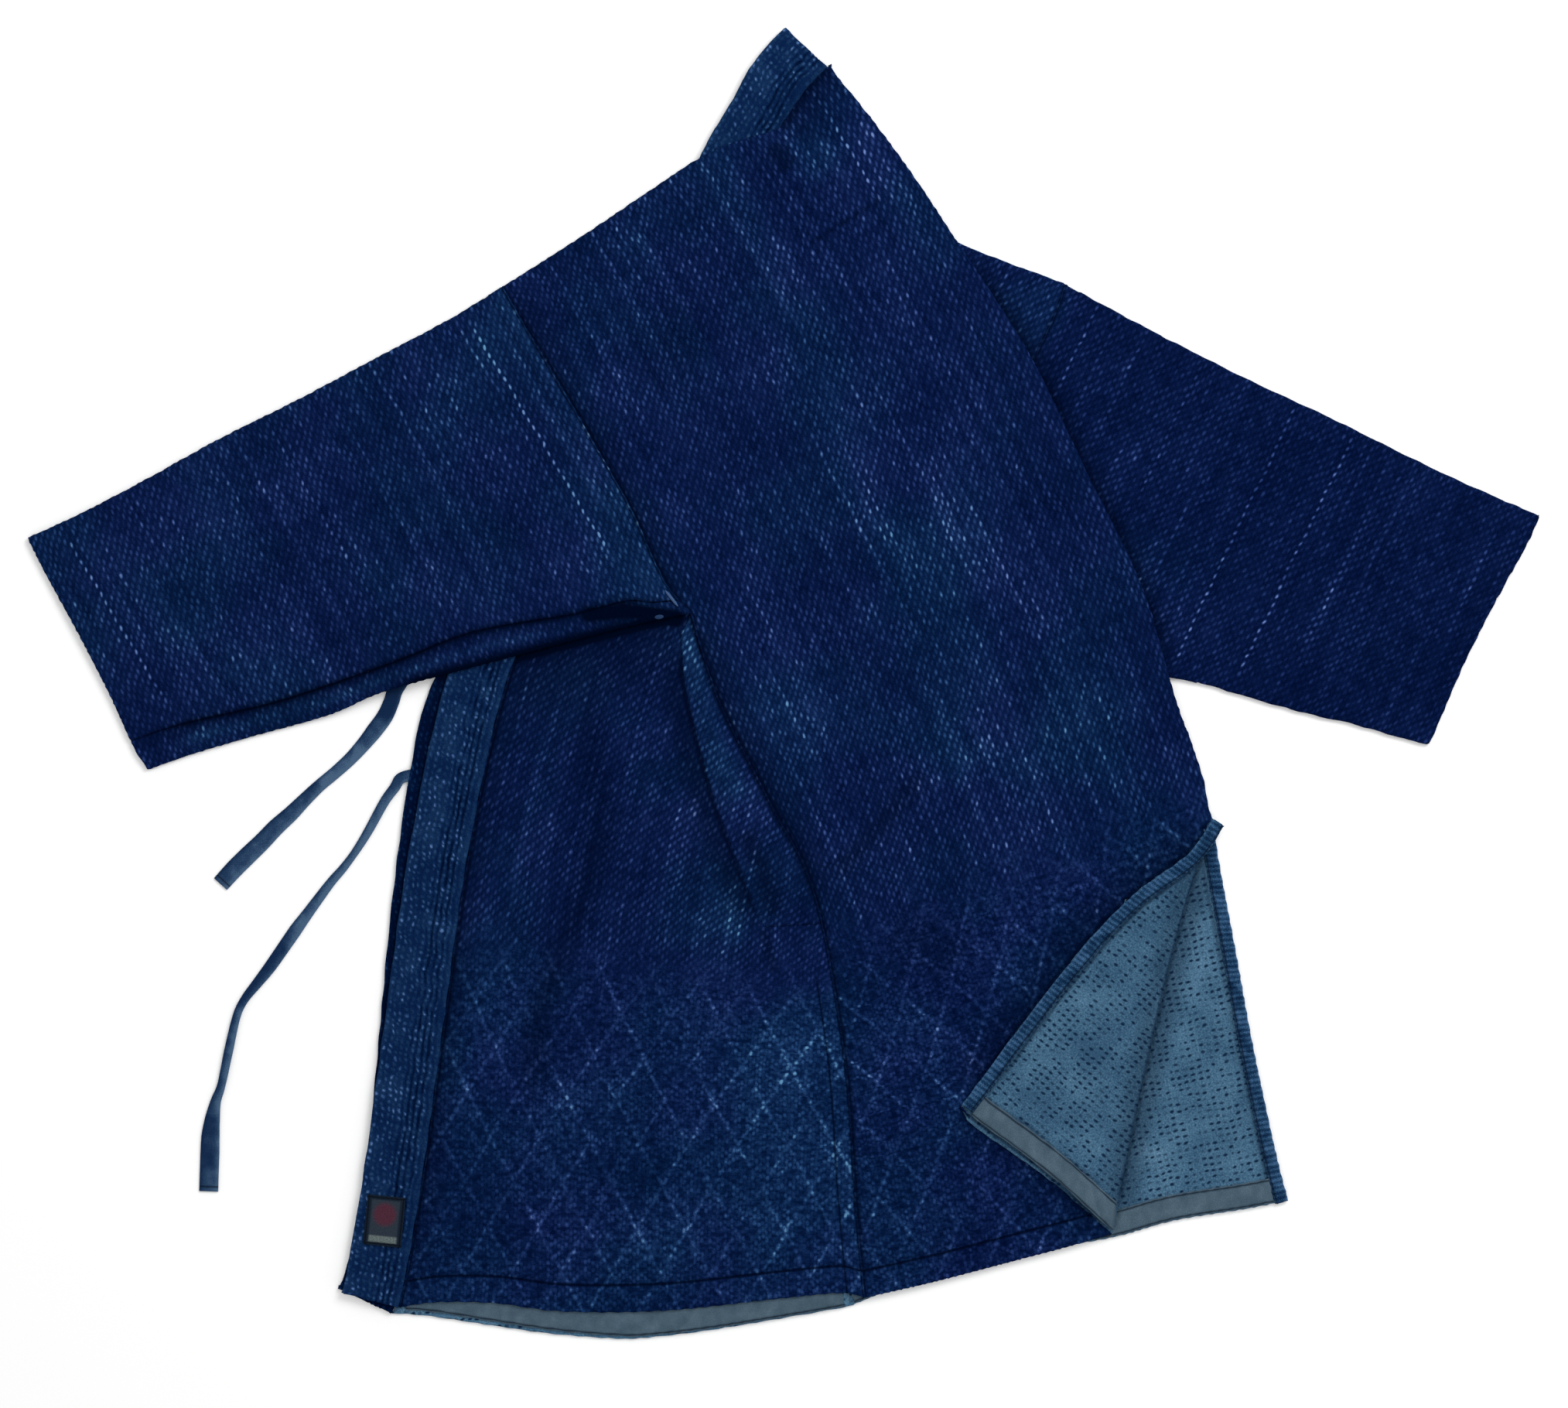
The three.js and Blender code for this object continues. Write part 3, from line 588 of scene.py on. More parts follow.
def cloth_piece(name, bm, wall, materials):
    """Turns a bmesh into a piece of cloth with a wall, in place of the solid of the same name."""
    mesh = bpy.data.meshes.new(name + " mesh")
    bm.to_mesh(mesh)
    bm.free()
    piece = placed(name + "_cloth", mesh)
    for material in materials:
        mesh.materials.append(material)
    thick = piece.modifiers.new("wall", "SOLIDIFY")
    thick.thickness = wall * MM
    thick.offset = -1
    thick.use_even_offset = False
    thick.use_quality_normals = True
    thick.material_offset = min(1, len(materials) - 1)
    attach(piece, "root")
    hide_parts(name)


def laid(name, parts, wall, materials):
    """A piece made of panels, each with its points, heights, layers and material."""
    bm = bmesh.new()
    for part in parts:
        grid_into(bm, *part)
    cloth_piece(name, bm, wall, materials)


# %% One panel in one call
FRAY = 0.32
FRAY_REACH = 5.0


def frayed(points, away, fray=FRAY):
    """The grid with its edges moved a little, as cut cloth is never quite straight."""
    # Two sines of about 3 mm, bent by slower ones so that they don't repeat.
    x, y = points[..., 0], points[..., 1]
    moved = np.stack([np.sin(1.3 * x + 1.8 * y + np.sin(0.5 * x)),
                      np.cos(1.6 * x - 1.2 * y + np.cos(0.4 * y))], axis=-1)
    nearest = np.min(list(away.values()), axis=0)
    return points + fray * moved * np.clip(1 - nearest / FRAY_REACH, 0, 1)[..., None]


def panel(edges, height, spine, features=(), material=0, step=3.0, **more):
    """One panel between four edges, at a height, woven along a spine."""
    points, away = stretched(*edges, features=features, step=step)
    points = frayed(points, away)
    lift, layers = settled(points, away, features, on_spine(points, spine), **more)
    return points, height(points) + lift, layers, material


def raised(node, upper, by=0.0):
    """The height of a solid's upper or lower side, moved up by some millimetres."""
    height = relief(node, upper)
    return lambda points: height(points) + by


# %% [markdown]
# ## Colours and nodes
#
# Colours are written as sRGB hex values, as a screen shows them, and one function turns them to
# the linear values that the shader works with. The nodes could be placed by hand in the shader
# editor, but a script shows what each one does and can use a group of them again. So one more
# function adds a node: inputs come in order or, with a capital letter, by name, and small names
# are the node's own settings.

# %% Colour and node helpers
def linear(hex_colour):
    """An sRGB hex colour as linear RGBA."""
    channels = [int(hex_colour[k:k + 2], 16) / 255 for k in (1, 3, 5)]
    return [c / 12.92 if c < 0.04045 else ((c + 0.055) / 1.055) ** 2.4 for c in channels] + [1]


def add(tree, kind, *inputs, **named):
    """Adds a node to a tree and gives it back."""
    made = tree.nodes.new(kind)
    for key, value in named.items():
        if not key[0].isupper():
            setattr(made, key, value)
    by_name = {key.replace("_", " "): value for key, value in named.items() if key[0].isupper()}
    for key, value in [*enumerate(inputs), *by_name.items()]:
        if value is None:
            continue
        if isinstance(value, bpy.types.Node):
            value = value.outputs[0]
        if isinstance(value, bpy.types.NodeSocket):
            tree.links.new(value, made.inputs[key])
        else:
            made.inputs[key].default_value = value
    return made


MATH, MIX, NOISE = "ShaderNodeMath", "ShaderNodeMix", "ShaderNodeTexNoise"
RANGE, WHITE, VECTOR = "ShaderNodeMapRange", "ShaderNodeTexWhiteNoise", "ShaderNodeVectorMath"
SPLIT, JOIN, PAINTED = "ShaderNodeSeparateXYZ", "ShaderNodeCombineXYZ", "ShaderNodeAttribute"


def cloth_material(name):
    """A cloth material, its tree and its shader, with no colour yet. Cotton has no gloss."""
    material = bpy.data.materials.new(name)
    material.use_nodes = True
    tree = material.node_tree
    tree.nodes.clear()
    shader = add(tree, "ShaderNodeBsdfPrincipled", Roughness=1.0)
    shader.inputs["Specular IOR Level"].default_value = 0.0
    add(tree, "ShaderNodeOutputMaterial", Surface=shader)
    return material, tree, shader


# %% [markdown]
# ## Indigo sashiko cotton
#
# The outside of the cloth is a rice-grain sashiko weave. Rows of short floats run along the warp,
# 3.04 mm apart, and each float is 7.35 mm from the next in its row and half a step from those
# beside it. A float leans a little, so the grains also line up slantwise. Piece-dyed indigo fades
# where yarns stand proud: grains are lighter than the ground, some rows take less dye and run
# through the panel as pale streaks, and worn places are lighter all over. An image of the weave
# could be tiled over the cloth, but it would repeat. Here each grain is a cell of its own, with
# its own brightness, and nothing repeats. Cotton like this has no gloss, so the shader has no
# specular and a bump as deep as the floats are.

# %% Sizes of the weave
ROW_PITCH = 3.04
GRAIN_PITCH = 7.35
GRAIN_HALF = (1.3, 2.75)
GRAIN_LEAN = math.radians(15)
GRAIN_DRIFT = 0.16
PALE_ROW_LENGTH = 240.0
PALE_ROW_END = 6.0
DIAMOND = (37.9, 68.0)


# %% The cell of a grain
def staggered_cell(tree, weave, across, along, drift, stagger=0.5):
    """The row and cell that a point lies in, and its offset from the cell's middle.

    Each row starts a stagger further on than the last, and drifts by chance, in shares of a cell.
    """
    split = add(tree, SPLIT, weave)
    x = add(tree, MATH, split.outputs["X"], across, operation="DIVIDE")
    row = add(tree, MATH, x, operation="FLOOR")
    jitter = add(tree, WHITE, W=row, noise_dimensions="1D")
    y = add(tree, MATH, split.outputs["Y"], along, operation="DIVIDE")
    half = add(tree, MATH, row, stagger, y, operation="MULTIPLY_ADD")
    moved = add(tree, MATH, jitter.outputs["Value"], drift, half, operation="MULTIPLY_ADD")
    cell = add(tree, MATH, moved, operation="FLOOR")
    off_x = add(tree, MATH, x, row, operation="SUBTRACT")
    off_y = add(tree, MATH, moved, cell, operation="SUBTRACT")
    dx = add(tree, MATH, off_x, across, -across / 2, operation="MULTIPLY_ADD")
    dy = add(tree, MATH, off_y, along, -along / 2, operation="MULTIPLY_ADD")
    place = add(tree, JOIN, row, cell)
    return row, place, dx, dy


def oval(tree, dx, dy, half, lean, soft=(1.3, 0.2)):
    """1 inside a leaning oval and 0 outside it, with a soft rim between two shares of its size."""
    c, s = math.cos(lean), math.sin(lean)
    qx = add(tree, MATH, dy, s / half[0], operation="MULTIPLY")
    qx = add(tree, MATH, dx, c / half[0], qx, operation="MULTIPLY_ADD")
    qy = add(tree, MATH, dy, c / half[1], operation="MULTIPLY")
    qy = add(tree, MATH, dx, -s / half[1], qy, operation="MULTIPLY_ADD")
    xx = add(tree, MATH, qx, qx, operation="MULTIPLY")
    square = add(tree, MATH, qy, qy, xx, operation="MULTIPLY_ADD")
    radius = add(tree, MATH, square, operation="SQRT")
    return add(tree, RANGE, radius, soft[0], soft[1], 0.0, 1.0, interpolation_type="SMOOTHSTEP")


# %% The rice-grain weave
def noise(tree, where, scale, detail=2.0):
    """Soft noise whose blotches are about as large as scale, in millimetres."""
    return add(tree, NOISE, where, Scale=1 / scale, Detail=detail, noise_dimensions="2D")


def wandering(tree, scale, amount):
    """The cloth's coordinates, and the same with rows that wander by some millimetres."""
    weave = add(tree, "ShaderNodeUVMap", uv_map="weave")
    centred = add(tree, VECTOR, noise(tree, weave, scale, 4.0).outputs["Color"], (0.5, 0.5, 0.5),
                  operation="SUBTRACT")
    moved = add(tree, VECTOR, centred, (amount, amount, 0), weave, operation="MULTIPLY_ADD")
    return weave, moved


def rice_grain(tree, weave, pale_rows):
    """How bright and how high the rice-grain weave is, each from 0 to about 1.

    A pale row that is listed is written as its u, where its v starts and ends, and how pale it is.
    """
    row, place, dx, dy = staggered_cell(tree, weave, ROW_PITCH, GRAIN_PITCH, GRAIN_DRIFT)
    grain = oval(tree, dx, dy, GRAIN_HALF, GRAIN_LEAN)
    # A few grains are bright and most are dim.
    chance = add(tree, WHITE, place, noise_dimensions="2D")
    uneven = add(tree, MATH, chance.outputs["Value"], 2.0, operation="POWER")
    split = add(tree, SPLIT, weave)
    # Some whole rows took less dye. The noise changes fast from row to row and slowly along one.
    slow = add(tree, MATH, split.outputs["Y"], 1 / PALE_ROW_LENGTH, operation="MULTIPLY")
    spot = add(tree, JOIN, add(tree, MATH, row, 0.83, operation="MULTIPLY"), slow)
    dyed = noise(tree, spot, 1.0)
    streak = add(tree, RANGE, dyed, 0.54, 0.8, 0.0, 1.0)
    bright = add(tree, MATH, uneven, 0.43, 0.19, operation="MULTIPLY_ADD")
    bright = add(tree, MATH, streak, 0.38, bright, operation="MULTIPLY_ADD")
    # The pale rows that are listed.
    for across, start, end, gain in pale_rows:
        number = math.floor(across / ROW_PITCH)
        here = add(tree, MATH, row, float(number), 0.5, operation="COMPARE")
        after = add(tree, RANGE, split.outputs["Y"], start - PALE_ROW_END, start + PALE_ROW_END, 0.0, gain)
        before = add(tree, RANGE, split.outputs["Y"], end + PALE_ROW_END, end - PALE_ROW_END, 0.0, 1.0)
        here = add(tree, MATH, here, after, operation="MULTIPLY")
        here = add(tree, MATH, here, before, operation="MULTIPLY")
        bright = add(tree, MATH, bright, here, operation="ADD")
    shown = add(tree, MATH, grain, bright, operation="MULTIPLY")
    pale = add(tree, RANGE, dyed, 0.3, 0.7, -0.07, 0.07)
    return add(tree, MATH, shown, pale, operation="ADD"), grain


# %% [markdown]
# ## The diamonds of the skirt
#
# Below the hips the weave changes to hishi, rows of diamonds. Their lines are floats too: short
# pale dashes that run slantwise both ways, over a ground that is flatter and darker than the
# rice-grain weave. The skirt could be a mesh of its own with its own material, but on the real
# jacket it is the same length of cloth. So both weaves are in one material, and the v of the UV
# map tells them apart.

# %% One family of slanting dashes
DASH_PITCH = 6.9
DASH_HALF = (1.9, 3.3)
KNOT_PITCH = (2.87, 5.27)
KNOT_HALF = (1.5, 2.1)


def dashes(tree, weave, slant, seed):
    """Pale dashes along lines that slant to one side."""
    across = Vector((slant / DIAMOND[0], 1 / DIAMOND[1], 0))
    spacing = 1 / across.length
    way = across.normalized()
    along = Vector((-way.y, way.x, 0))
    # Across the lines, n is the number of the nearest one. Along them, k is that of the dash.
    p = add(tree, VECTOR, weave, tuple(way), operation="DOT_PRODUCT")
    q = add(tree, VECTOR, weave, tuple(along), operation="DOT_PRODUCT")
    line = add(tree, MATH, p.outputs["Value"], 1 / spacing, operation="MULTIPLY")
    n = add(tree, MATH, line, operation="ROUND")
    off = add(tree, MATH, line, n, operation="SUBTRACT")
    dx = add(tree, MATH, off, spacing, operation="MULTIPLY")
    step = add(tree, MATH, q.outputs["Value"], 1 / DASH_PITCH, operation="MULTIPLY")
    k = add(tree, MATH, step, operation="ROUND")
    off_y = add(tree, MATH, step, k, operation="SUBTRACT")
    dy = add(tree, MATH, off_y, DASH_PITCH, operation="MULTIPLY")
    mask = oval(tree, dx, dy, DASH_HALF, 0.0)
    # Dashes differ a little from one to the next, and a line fades in and out over some of them.
    place = add(tree, JOIN, n, k, float(seed))
    chance = add(tree, WHITE, place, noise_dimensions="3D")
    spot = add(tree, JOIN, add(tree, MATH, n, 5.3, operation="MULTIPLY"),
               add(tree, MATH, k, 0.16, operation="MULTIPLY"), float(seed))
    fade = add(tree, NOISE, spot, Scale=1.0, Detail=1.0, noise_dimensions="3D")
    kept = add(tree, RANGE, fade.outputs["Fac"], 0.3, 0.66, 0.34, 1.0)
    bright = add(tree, MATH, chance.outputs["Value"], 0.26, 0.36, operation="MULTIPLY_ADD")
    bright = add(tree, MATH, bright, kept, operation="MULTIPLY")
    return add(tree, MATH, mask, bright, operation="MULTIPLY"), mask


# %% The hishi weave
def hishi(tree, weave):
    """How bright and how high the diamond weave is."""
    one, high_one = dashes(tree, weave, 1, 3)
    two, high_two = dashes(tree, weave, -1, 7)
    line = add(tree, MATH, one, two, operation="MAXIMUM")
    high = add(tree, MATH, high_one, high_two, operation="MAXIMUM")
    # The ground between the lines: small soft knots, and flecks that are wider than long.
    _, place, dx, dy = staggered_cell(tree, weave, *KNOT_PITCH, 0.3)
    knot = oval(tree, dx, dy, KNOT_HALF, 0.0, soft=(1.5, 0.3))
    chance = add(tree, WHITE, place, noise_dimensions="2D")
    spot = add(tree, MATH, chance.outputs["Value"], 0.42, operation="MULTIPLY")
    ground = add(tree, MATH, knot, spot, operation="MULTIPLY")
    squeezed = add(tree, VECTOR, weave, (0.17, 0.3, 0), operation="MULTIPLY")
    fleck = add(tree, RANGE, noise(tree, squeezed, 1.0), 0.34, 0.66, -0.13, 0.15)
    ground = add(tree, MATH, ground, fleck, operation="ADD")
    shown = add(tree, MATH, ground, line, operation="ADD")
    high = add(tree, MATH, knot, 0.5, high, operation="MULTIPLY_ADD")
    return shown, high


# %% [markdown]
# ## From brightness to colour
#
# One ramp turns brightness into indigo, from the deepest dye to the palest. Two colours mixed
# would be simpler, but indigo goes through several blues as it fades. Cotton fades towards
# green-blue and fresh dye leans to purple, so slow noise tints the ramp both ways. Last, the colour
# is darkened where the mesh carries its "dark" values: along threads, and as painted shade in seams,
# creases and under other layers.

# %% Ramps, mixes and the last link
def ramped(tree, tone, stops):
    """A colour ramp through some stops."""
    ramp = add(tree, "ShaderNodeValToRGB", tone)
    made = ramp.color_ramp.elements
    made.remove(made[0])
    made[0].position, made[0].color = stops[0][0], linear(stops[0][1])
    for position, colour in stops[1:]:
        made.new(position).color = linear(colour)
    return ramp.outputs["Color"]


def blended(tree, share, one, two, how="MIX"):
    """Two colours mixed."""
    mix = add(tree, MIX, data_type="RGBA", blend_type=how)
    for socket, value in ((0, share), (6, one), (7, two)):
        if isinstance(value, bpy.types.Node):
            value = value.outputs[0]
        if isinstance(value, bpy.types.NodeSocket):
            tree.links.new(value, mix.inputs[socket])
        else:
            mix.inputs[socket].default_value = value
    return mix.outputs[2]


def darkened_by_thread_and_shade(tree, colour, deep, strength=0.88):
    """The colour, darkened where the mesh says that a thread runs, and where shade is painted into a seam,
    a crease or under another layer.
    """
    dark = add(tree, PAINTED, attribute_name="dark")
    share = add(tree, MATH, dark.outputs["Fac"], strength, operation="MULTIPLY", use_clamp=True)
    return blended(tree, share.outputs[0], colour, linear(deep))


def finished(tree, shader, colour, height, depth):
    """Links a colour and a height to the shader."""
    tree.links.new(colour, shader.inputs["Base Color"])
    bump = add(tree, "ShaderNodeBump", Strength=0.5, Distance=depth * MM, Height=height)
    tree.links.new(bump.outputs["Normal"], shader.inputs["Normal"])


# %% The outside of the cloth
INDIGO = ((0.0, "#020e2d"), (0.2, "#081940"), (0.4, "#142854"), (0.65, "#263f73"), (1.0, "#6483b4"))
PURPLE_TINT, GREEN_TINT = (1.06, 0.93, 1.0, 1), (0.88, 1.2, 1.0, 1)
SKIRT_WANDER = 70.0
SKIRT_BLEND = 36.0


def outside_cloth(name, skirt_from=None, pale_rows=(), contrast=1.0):
    """Sashiko cotton seen from outside: rice grains above skirt_from, diamonds below it."""
    material, tree, shader = cloth_material(name)
    weave, moved = wandering(tree, 26.0, 4.4)
    shown, high = rice_grain(tree, moved, pale_rows)
    if skirt_from is not None:
        diamond, diamond_high = hishi(tree, moved)
        split = add(tree, SPLIT, moved)
        edge = add(tree, MATH, noise(tree, weave, 16), SKIRT_WANDER, split.outputs["Y"],
                   operation="MULTIPLY_ADD")
        middle = skirt_from + SKIRT_WANDER / 2
        share = add(tree, RANGE, edge, middle - SKIRT_BLEND / 2, middle + SKIRT_BLEND / 2, 0.0, 1.0)
        shown = add(tree, MIX, share, None, shown, diamond, data_type="FLOAT")
        high = add(tree, MIX, share, None, high, diamond_high, data_type="FLOAT")
    fibre = noise(tree, weave, 1.1)
    fade = add(tree, PAINTED, attribute_name="fade")
    slow = noise(tree, weave, 60, 3.0)
    # Worn places, and the painted highlights on a ridge or a roll, have paler grains and a paler
    # ground. Where they are comes from the mesh, and slow noise breaks them into patches.
    patchy = add(tree, MATH, slow, 0.6, 0.15, operation="MULTIPLY_ADD")
    worn = add(tree, MATH, slow, 0.4, -0.1, operation="MULTIPLY_ADD")
    worn = add(tree, MATH, patchy, fade.outputs["Fac"], worn, operation="MULTIPLY_ADD")
    gain = add(tree, MATH, worn, 1.1, 0.62, operation="MULTIPLY_ADD")
    gain = add(tree, MATH, gain, contrast, operation="MULTIPLY")
    tone = add(tree, MATH, shown, gain, operation="MULTIPLY")
    tone = add(tree, MATH, worn, 0.6, tone, operation="MULTIPLY_ADD")
    # Fibres and small blotches roughen it all.
    fuzz = add(tree, MATH, fibre, 0.34, -0.17, operation="MULTIPLY_ADD")
    fuzz = add(tree, MATH, noise(tree, weave, 9, 3.0), 0.24, fuzz, operation="MULTIPLY_ADD")
    tone = add(tree, MATH, tone, fuzz, operation="ADD")
    tone = add(tree, MATH, tone, 0.015 - 0.06 * contrast, operation="ADD")
    colour = ramped(tree, tone, INDIGO)
    # Where the cloth has lost its dye it is greener, and so are its painted highlights.
    hue = add(tree, RANGE, noise(tree, weave, 90), 0.35, 0.65, -0.3, 0.6)
    if skirt_from is not None:
        hue = add(tree, MATH, share, 0.3, hue, operation="MULTIPLY_ADD")
    hue = add(tree, MATH, fade.outputs["Fac"], 2.4, hue, operation="MULTIPLY_ADD", use_clamp=True)
    tint = blended(tree, hue.outputs[0], PURPLE_TINT, GREEN_TINT)
    colour = blended(tree, 1.0, colour, tint, "MULTIPLY")
    colour = darkened_by_thread_and_shade(tree, colour, "#01081d")
    height = add(tree, MATH, fibre, 0.25, high, operation="MULTIPLY_ADD")
    finished(tree, shader, colour, height, 0.7)
    return material


# %% [markdown]
# ## The inside of the cloth
#
# Seen from inside, the pale cotton ground shows. The dyed floats that make the pattern outside
# come through as small dark dashes, which lie across the warp in straight rows. Where a line of
# diamonds runs outside there are none, so they stand in diamond-shaped groups. The outside's
# material could be used with other colours, but its grains are longer and staggered, so the inside
# has a pattern of its own.

# %% The inside of the cloth
INSIDE_PITCH = (5.5, 5.0)
INSIDE_DASH_HALF = (2.1, 1.15)
INSIDE_DASH_LEAN = -0.17
INSIDE_TONES = ((0.3, "#2e4d68"), (0.6, "#4a6e89"), (0.9, "#6c90ab"))


def inside_cloth(name):
    """The pale inner side, with dark dashes in diamond groups."""
    material, tree, shader = cloth_material(name)
    weave, moved = wandering(tree, 18.0, 4.0)
    _, place, dx, dy = staggered_cell(tree, moved, *INSIDE_PITCH, 0.2, stagger=0.0)
    dash = oval(tree, dx, dy, INSIDE_DASH_HALF, INSIDE_DASH_LEAN, soft=(1.25, 0.45))
    chance = add(tree, WHITE, place, noise_dimensions="2D")
    kept = add(tree, RANGE, chance.outputs["Value"], 0.08, 0.5, 0.1, 1.0)
    # No dashes near the lines of the diamonds.
    for slant in (1, -1):
        across = Vector((slant / DIAMOND[0], 1 / DIAMOND[1], 0))
        p = add(tree, VECTOR, moved, tuple(across), operation="DOT_PRODUCT")
        n = add(tree, MATH, p.outputs["Value"], operation="ROUND")
        off = add(tree, MATH, p.outputs["Value"], n, operation="SUBTRACT")
        miss = add(tree, MATH, off, operation="ABSOLUTE")
        clear = add(tree, RANGE, miss, 0.02, 0.06, 0.0, 1.0)
        kept = add(tree, MATH, kept, clear, operation="MULTIPLY")
    dot = add(tree, MATH, dash, kept, operation="MULTIPLY")
    # The ground is mottled, and darker or paler where the mesh says so.
    fibre = noise(tree, weave, 1.3, 3.0)
    tone = add(tree, MATH, noise(tree, weave, 30, 3.0), 0.5, -0.1, operation="MULTIPLY_ADD")
    tone = add(tree, MATH, fibre, 0.8, tone, operation="MULTIPLY_ADD")
    fade = add(tree, PAINTED, attribute_name="fade")
    tone = add(tree, MATH, tone, fade.outputs["Fac"], operation="ADD")
    colour = ramped(tree, tone, INSIDE_TONES)
    colour = blended(tree, dot.outputs[0], colour, linear("#11263f"))
    colour = darkened_by_thread_and_shade(tree, colour, "#0b1b30")
    height = add(tree, MATH, dot, -1.0, operation="MULTIPLY")
    height = add(tree, MATH, fibre, 0.35, height, operation="MULTIPLY_ADD")
    finished(tree, shader, colour, height, 0.5)
    return material


# %% [markdown]
# ## The quilted band
#
# The collar band is several layers of indigo cotton, quilted with rows of stitches. Its outer
# strip is plain. Then come rows of pale stitches with grooves between them, and on the other half
# the grooves run out among small grains that lie close. Each stitch could be modelled, but there
# are thousands and none is thicker than a thread. So the material draws them, and the mesh has the
# deepest grooves only. Here u runs across the band, so the material can tell its parts apart, and
# the rows wander as the hand that guided them.

# %% The quilted band
BAND_ROW = 4.6
STITCH_PITCH = 4.9
PLAIN_STRIP = 5.8
ROWS_END = 23.0
STITCH_HALF = (1.5, 1.8)
STITCH_LEAN = 0.35
STITCH_WANDER = (1.6, 2.2)
BAND_TONES = ((0.0, "#020e2c"), (0.35, "#0a2147"), (0.6, "#173357"), (0.85, "#2f4d7c"), (1.0, "#5674a4"))


def band_cloth(name):
    """Quilted indigo cotton: a plain strip, rows of stitches, and close grains."""
    material, tree, shader = cloth_material(name)
    weave, moved = wandering(tree, 15.0, 6.0)
    _, place, dx, dy = staggered_cell(tree, moved, BAND_ROW, STITCH_PITCH, 0.9)
    # Each stitch is moved a little out of its row and along it.
    chance = add(tree, WHITE, place, noise_dimensions="2D")
    shift = add(tree, "ShaderNodeSeparateColor", chance.outputs["Color"])
    grain_x = add(tree, MATH, shift.outputs["Red"], STITCH_WANDER[0], dx, operation="MULTIPLY_ADD")
    grain_x = add(tree, MATH, grain_x, -STITCH_WANDER[0] / 2, operation="ADD")
    grain_y = add(tree, MATH, shift.outputs["Green"], STITCH_WANDER[1], dy, operation="MULTIPLY_ADD")
    grain_y = add(tree, MATH, grain_y, -STITCH_WANDER[1] / 2, operation="ADD")
    dot = oval(tree, grain_x, grain_y, STITCH_HALF, STITCH_LEAN, soft=(1.35, 0.2))
    uneven = add(tree, MATH, chance.outputs["Value"], 1.6, operation="POWER")
    split = add(tree, SPLIT, moved)
    rows = add(tree, RANGE, split.outputs["X"], PLAIN_STRIP - 1, PLAIN_STRIP + 1, 0.35, 1.0)
    deep = add(tree, RANGE, split.outputs["X"], ROWS_END + 4, ROWS_END - 4, 0.12, 1.0)
    bright = add(tree, MATH, uneven, 0.46, 0.14, operation="MULTIPLY_ADD")
    shown = add(tree, MATH, dot, bright, operation="MULTIPLY")
    shown = add(tree, MATH, shown, rows, operation="MULTIPLY")
    shown = add(tree, MATH, rows, 0.06, shown, operation="MULTIPLY_ADD")
    # The grooves between the rows, deeper at some places than at others.
    valley = add(tree, MATH, dx, operation="ABSOLUTE")
    valley = add(tree, RANGE, valley, BAND_ROW / 2 - 1.5, BAND_ROW / 2 - 0.2, 0.0, 1.0)
    valley = add(tree, MATH, valley, rows, operation="MULTIPLY")
    valley = add(tree, MATH, valley, deep, operation="MULTIPLY")
    deepness = add(tree, RANGE, noise(tree, weave, 9), 0.35, 0.65, 0.1, 1.0)
    valley = add(tree, MATH, valley, deepness, operation="MULTIPLY")
    # Blotches, fibres, worn edges, stitches and grooves add up to one tone. The grooves are
    # darkened as painted shade, and so is the whole far half of the band, through the mesh's fade.
    fibre = noise(tree, weave, 1.2)
    fade = add(tree, PAINTED, attribute_name="fade")
    tone = add(tree, MATH, noise(tree, weave, 22, 3.0), 0.5, -0.06, operation="MULTIPLY_ADD")
    tone = add(tree, MATH, fibre, 0.42, tone, operation="MULTIPLY_ADD")
    tone = add(tree, MATH, tone, -0.08, operation="ADD")
    tone = add(tree, MATH, fade.outputs["Fac"], 1.0, tone, operation="MULTIPLY_ADD")
    tone = add(tree, MATH, tone, shown, operation="ADD")
    tone = add(tree, MATH, valley, -0.34, tone, operation="MULTIPLY_ADD")
    colour = ramped(tree, tone, BAND_TONES)
    colour = darkened_by_thread_and_shade(tree, colour, "#010a22")
    height = add(tree, MATH, valley, -1.2, dot, operation="MULTIPLY_ADD")
    height = add(tree, MATH, fibre, 0.3, height, operation="MULTIPLY_ADD")
    finished(tree, shader, colour, height, 0.8)
    return material


# %% [markdown]
# ## Tape, binding, tie and label
#
# The smaller pieces are plain cotton. The hem is faced with a grey twill tape, the vent edges are
# bound with a strip that lies in small ribs across, and the ties are flat plain-woven tapes. Each
# could have a material of its own, but they differ only in dye, ribs and mottle, so one function
# makes them all. Their threads are finer than a pixel, so the ribs are as coarse as they need to
# be to show.

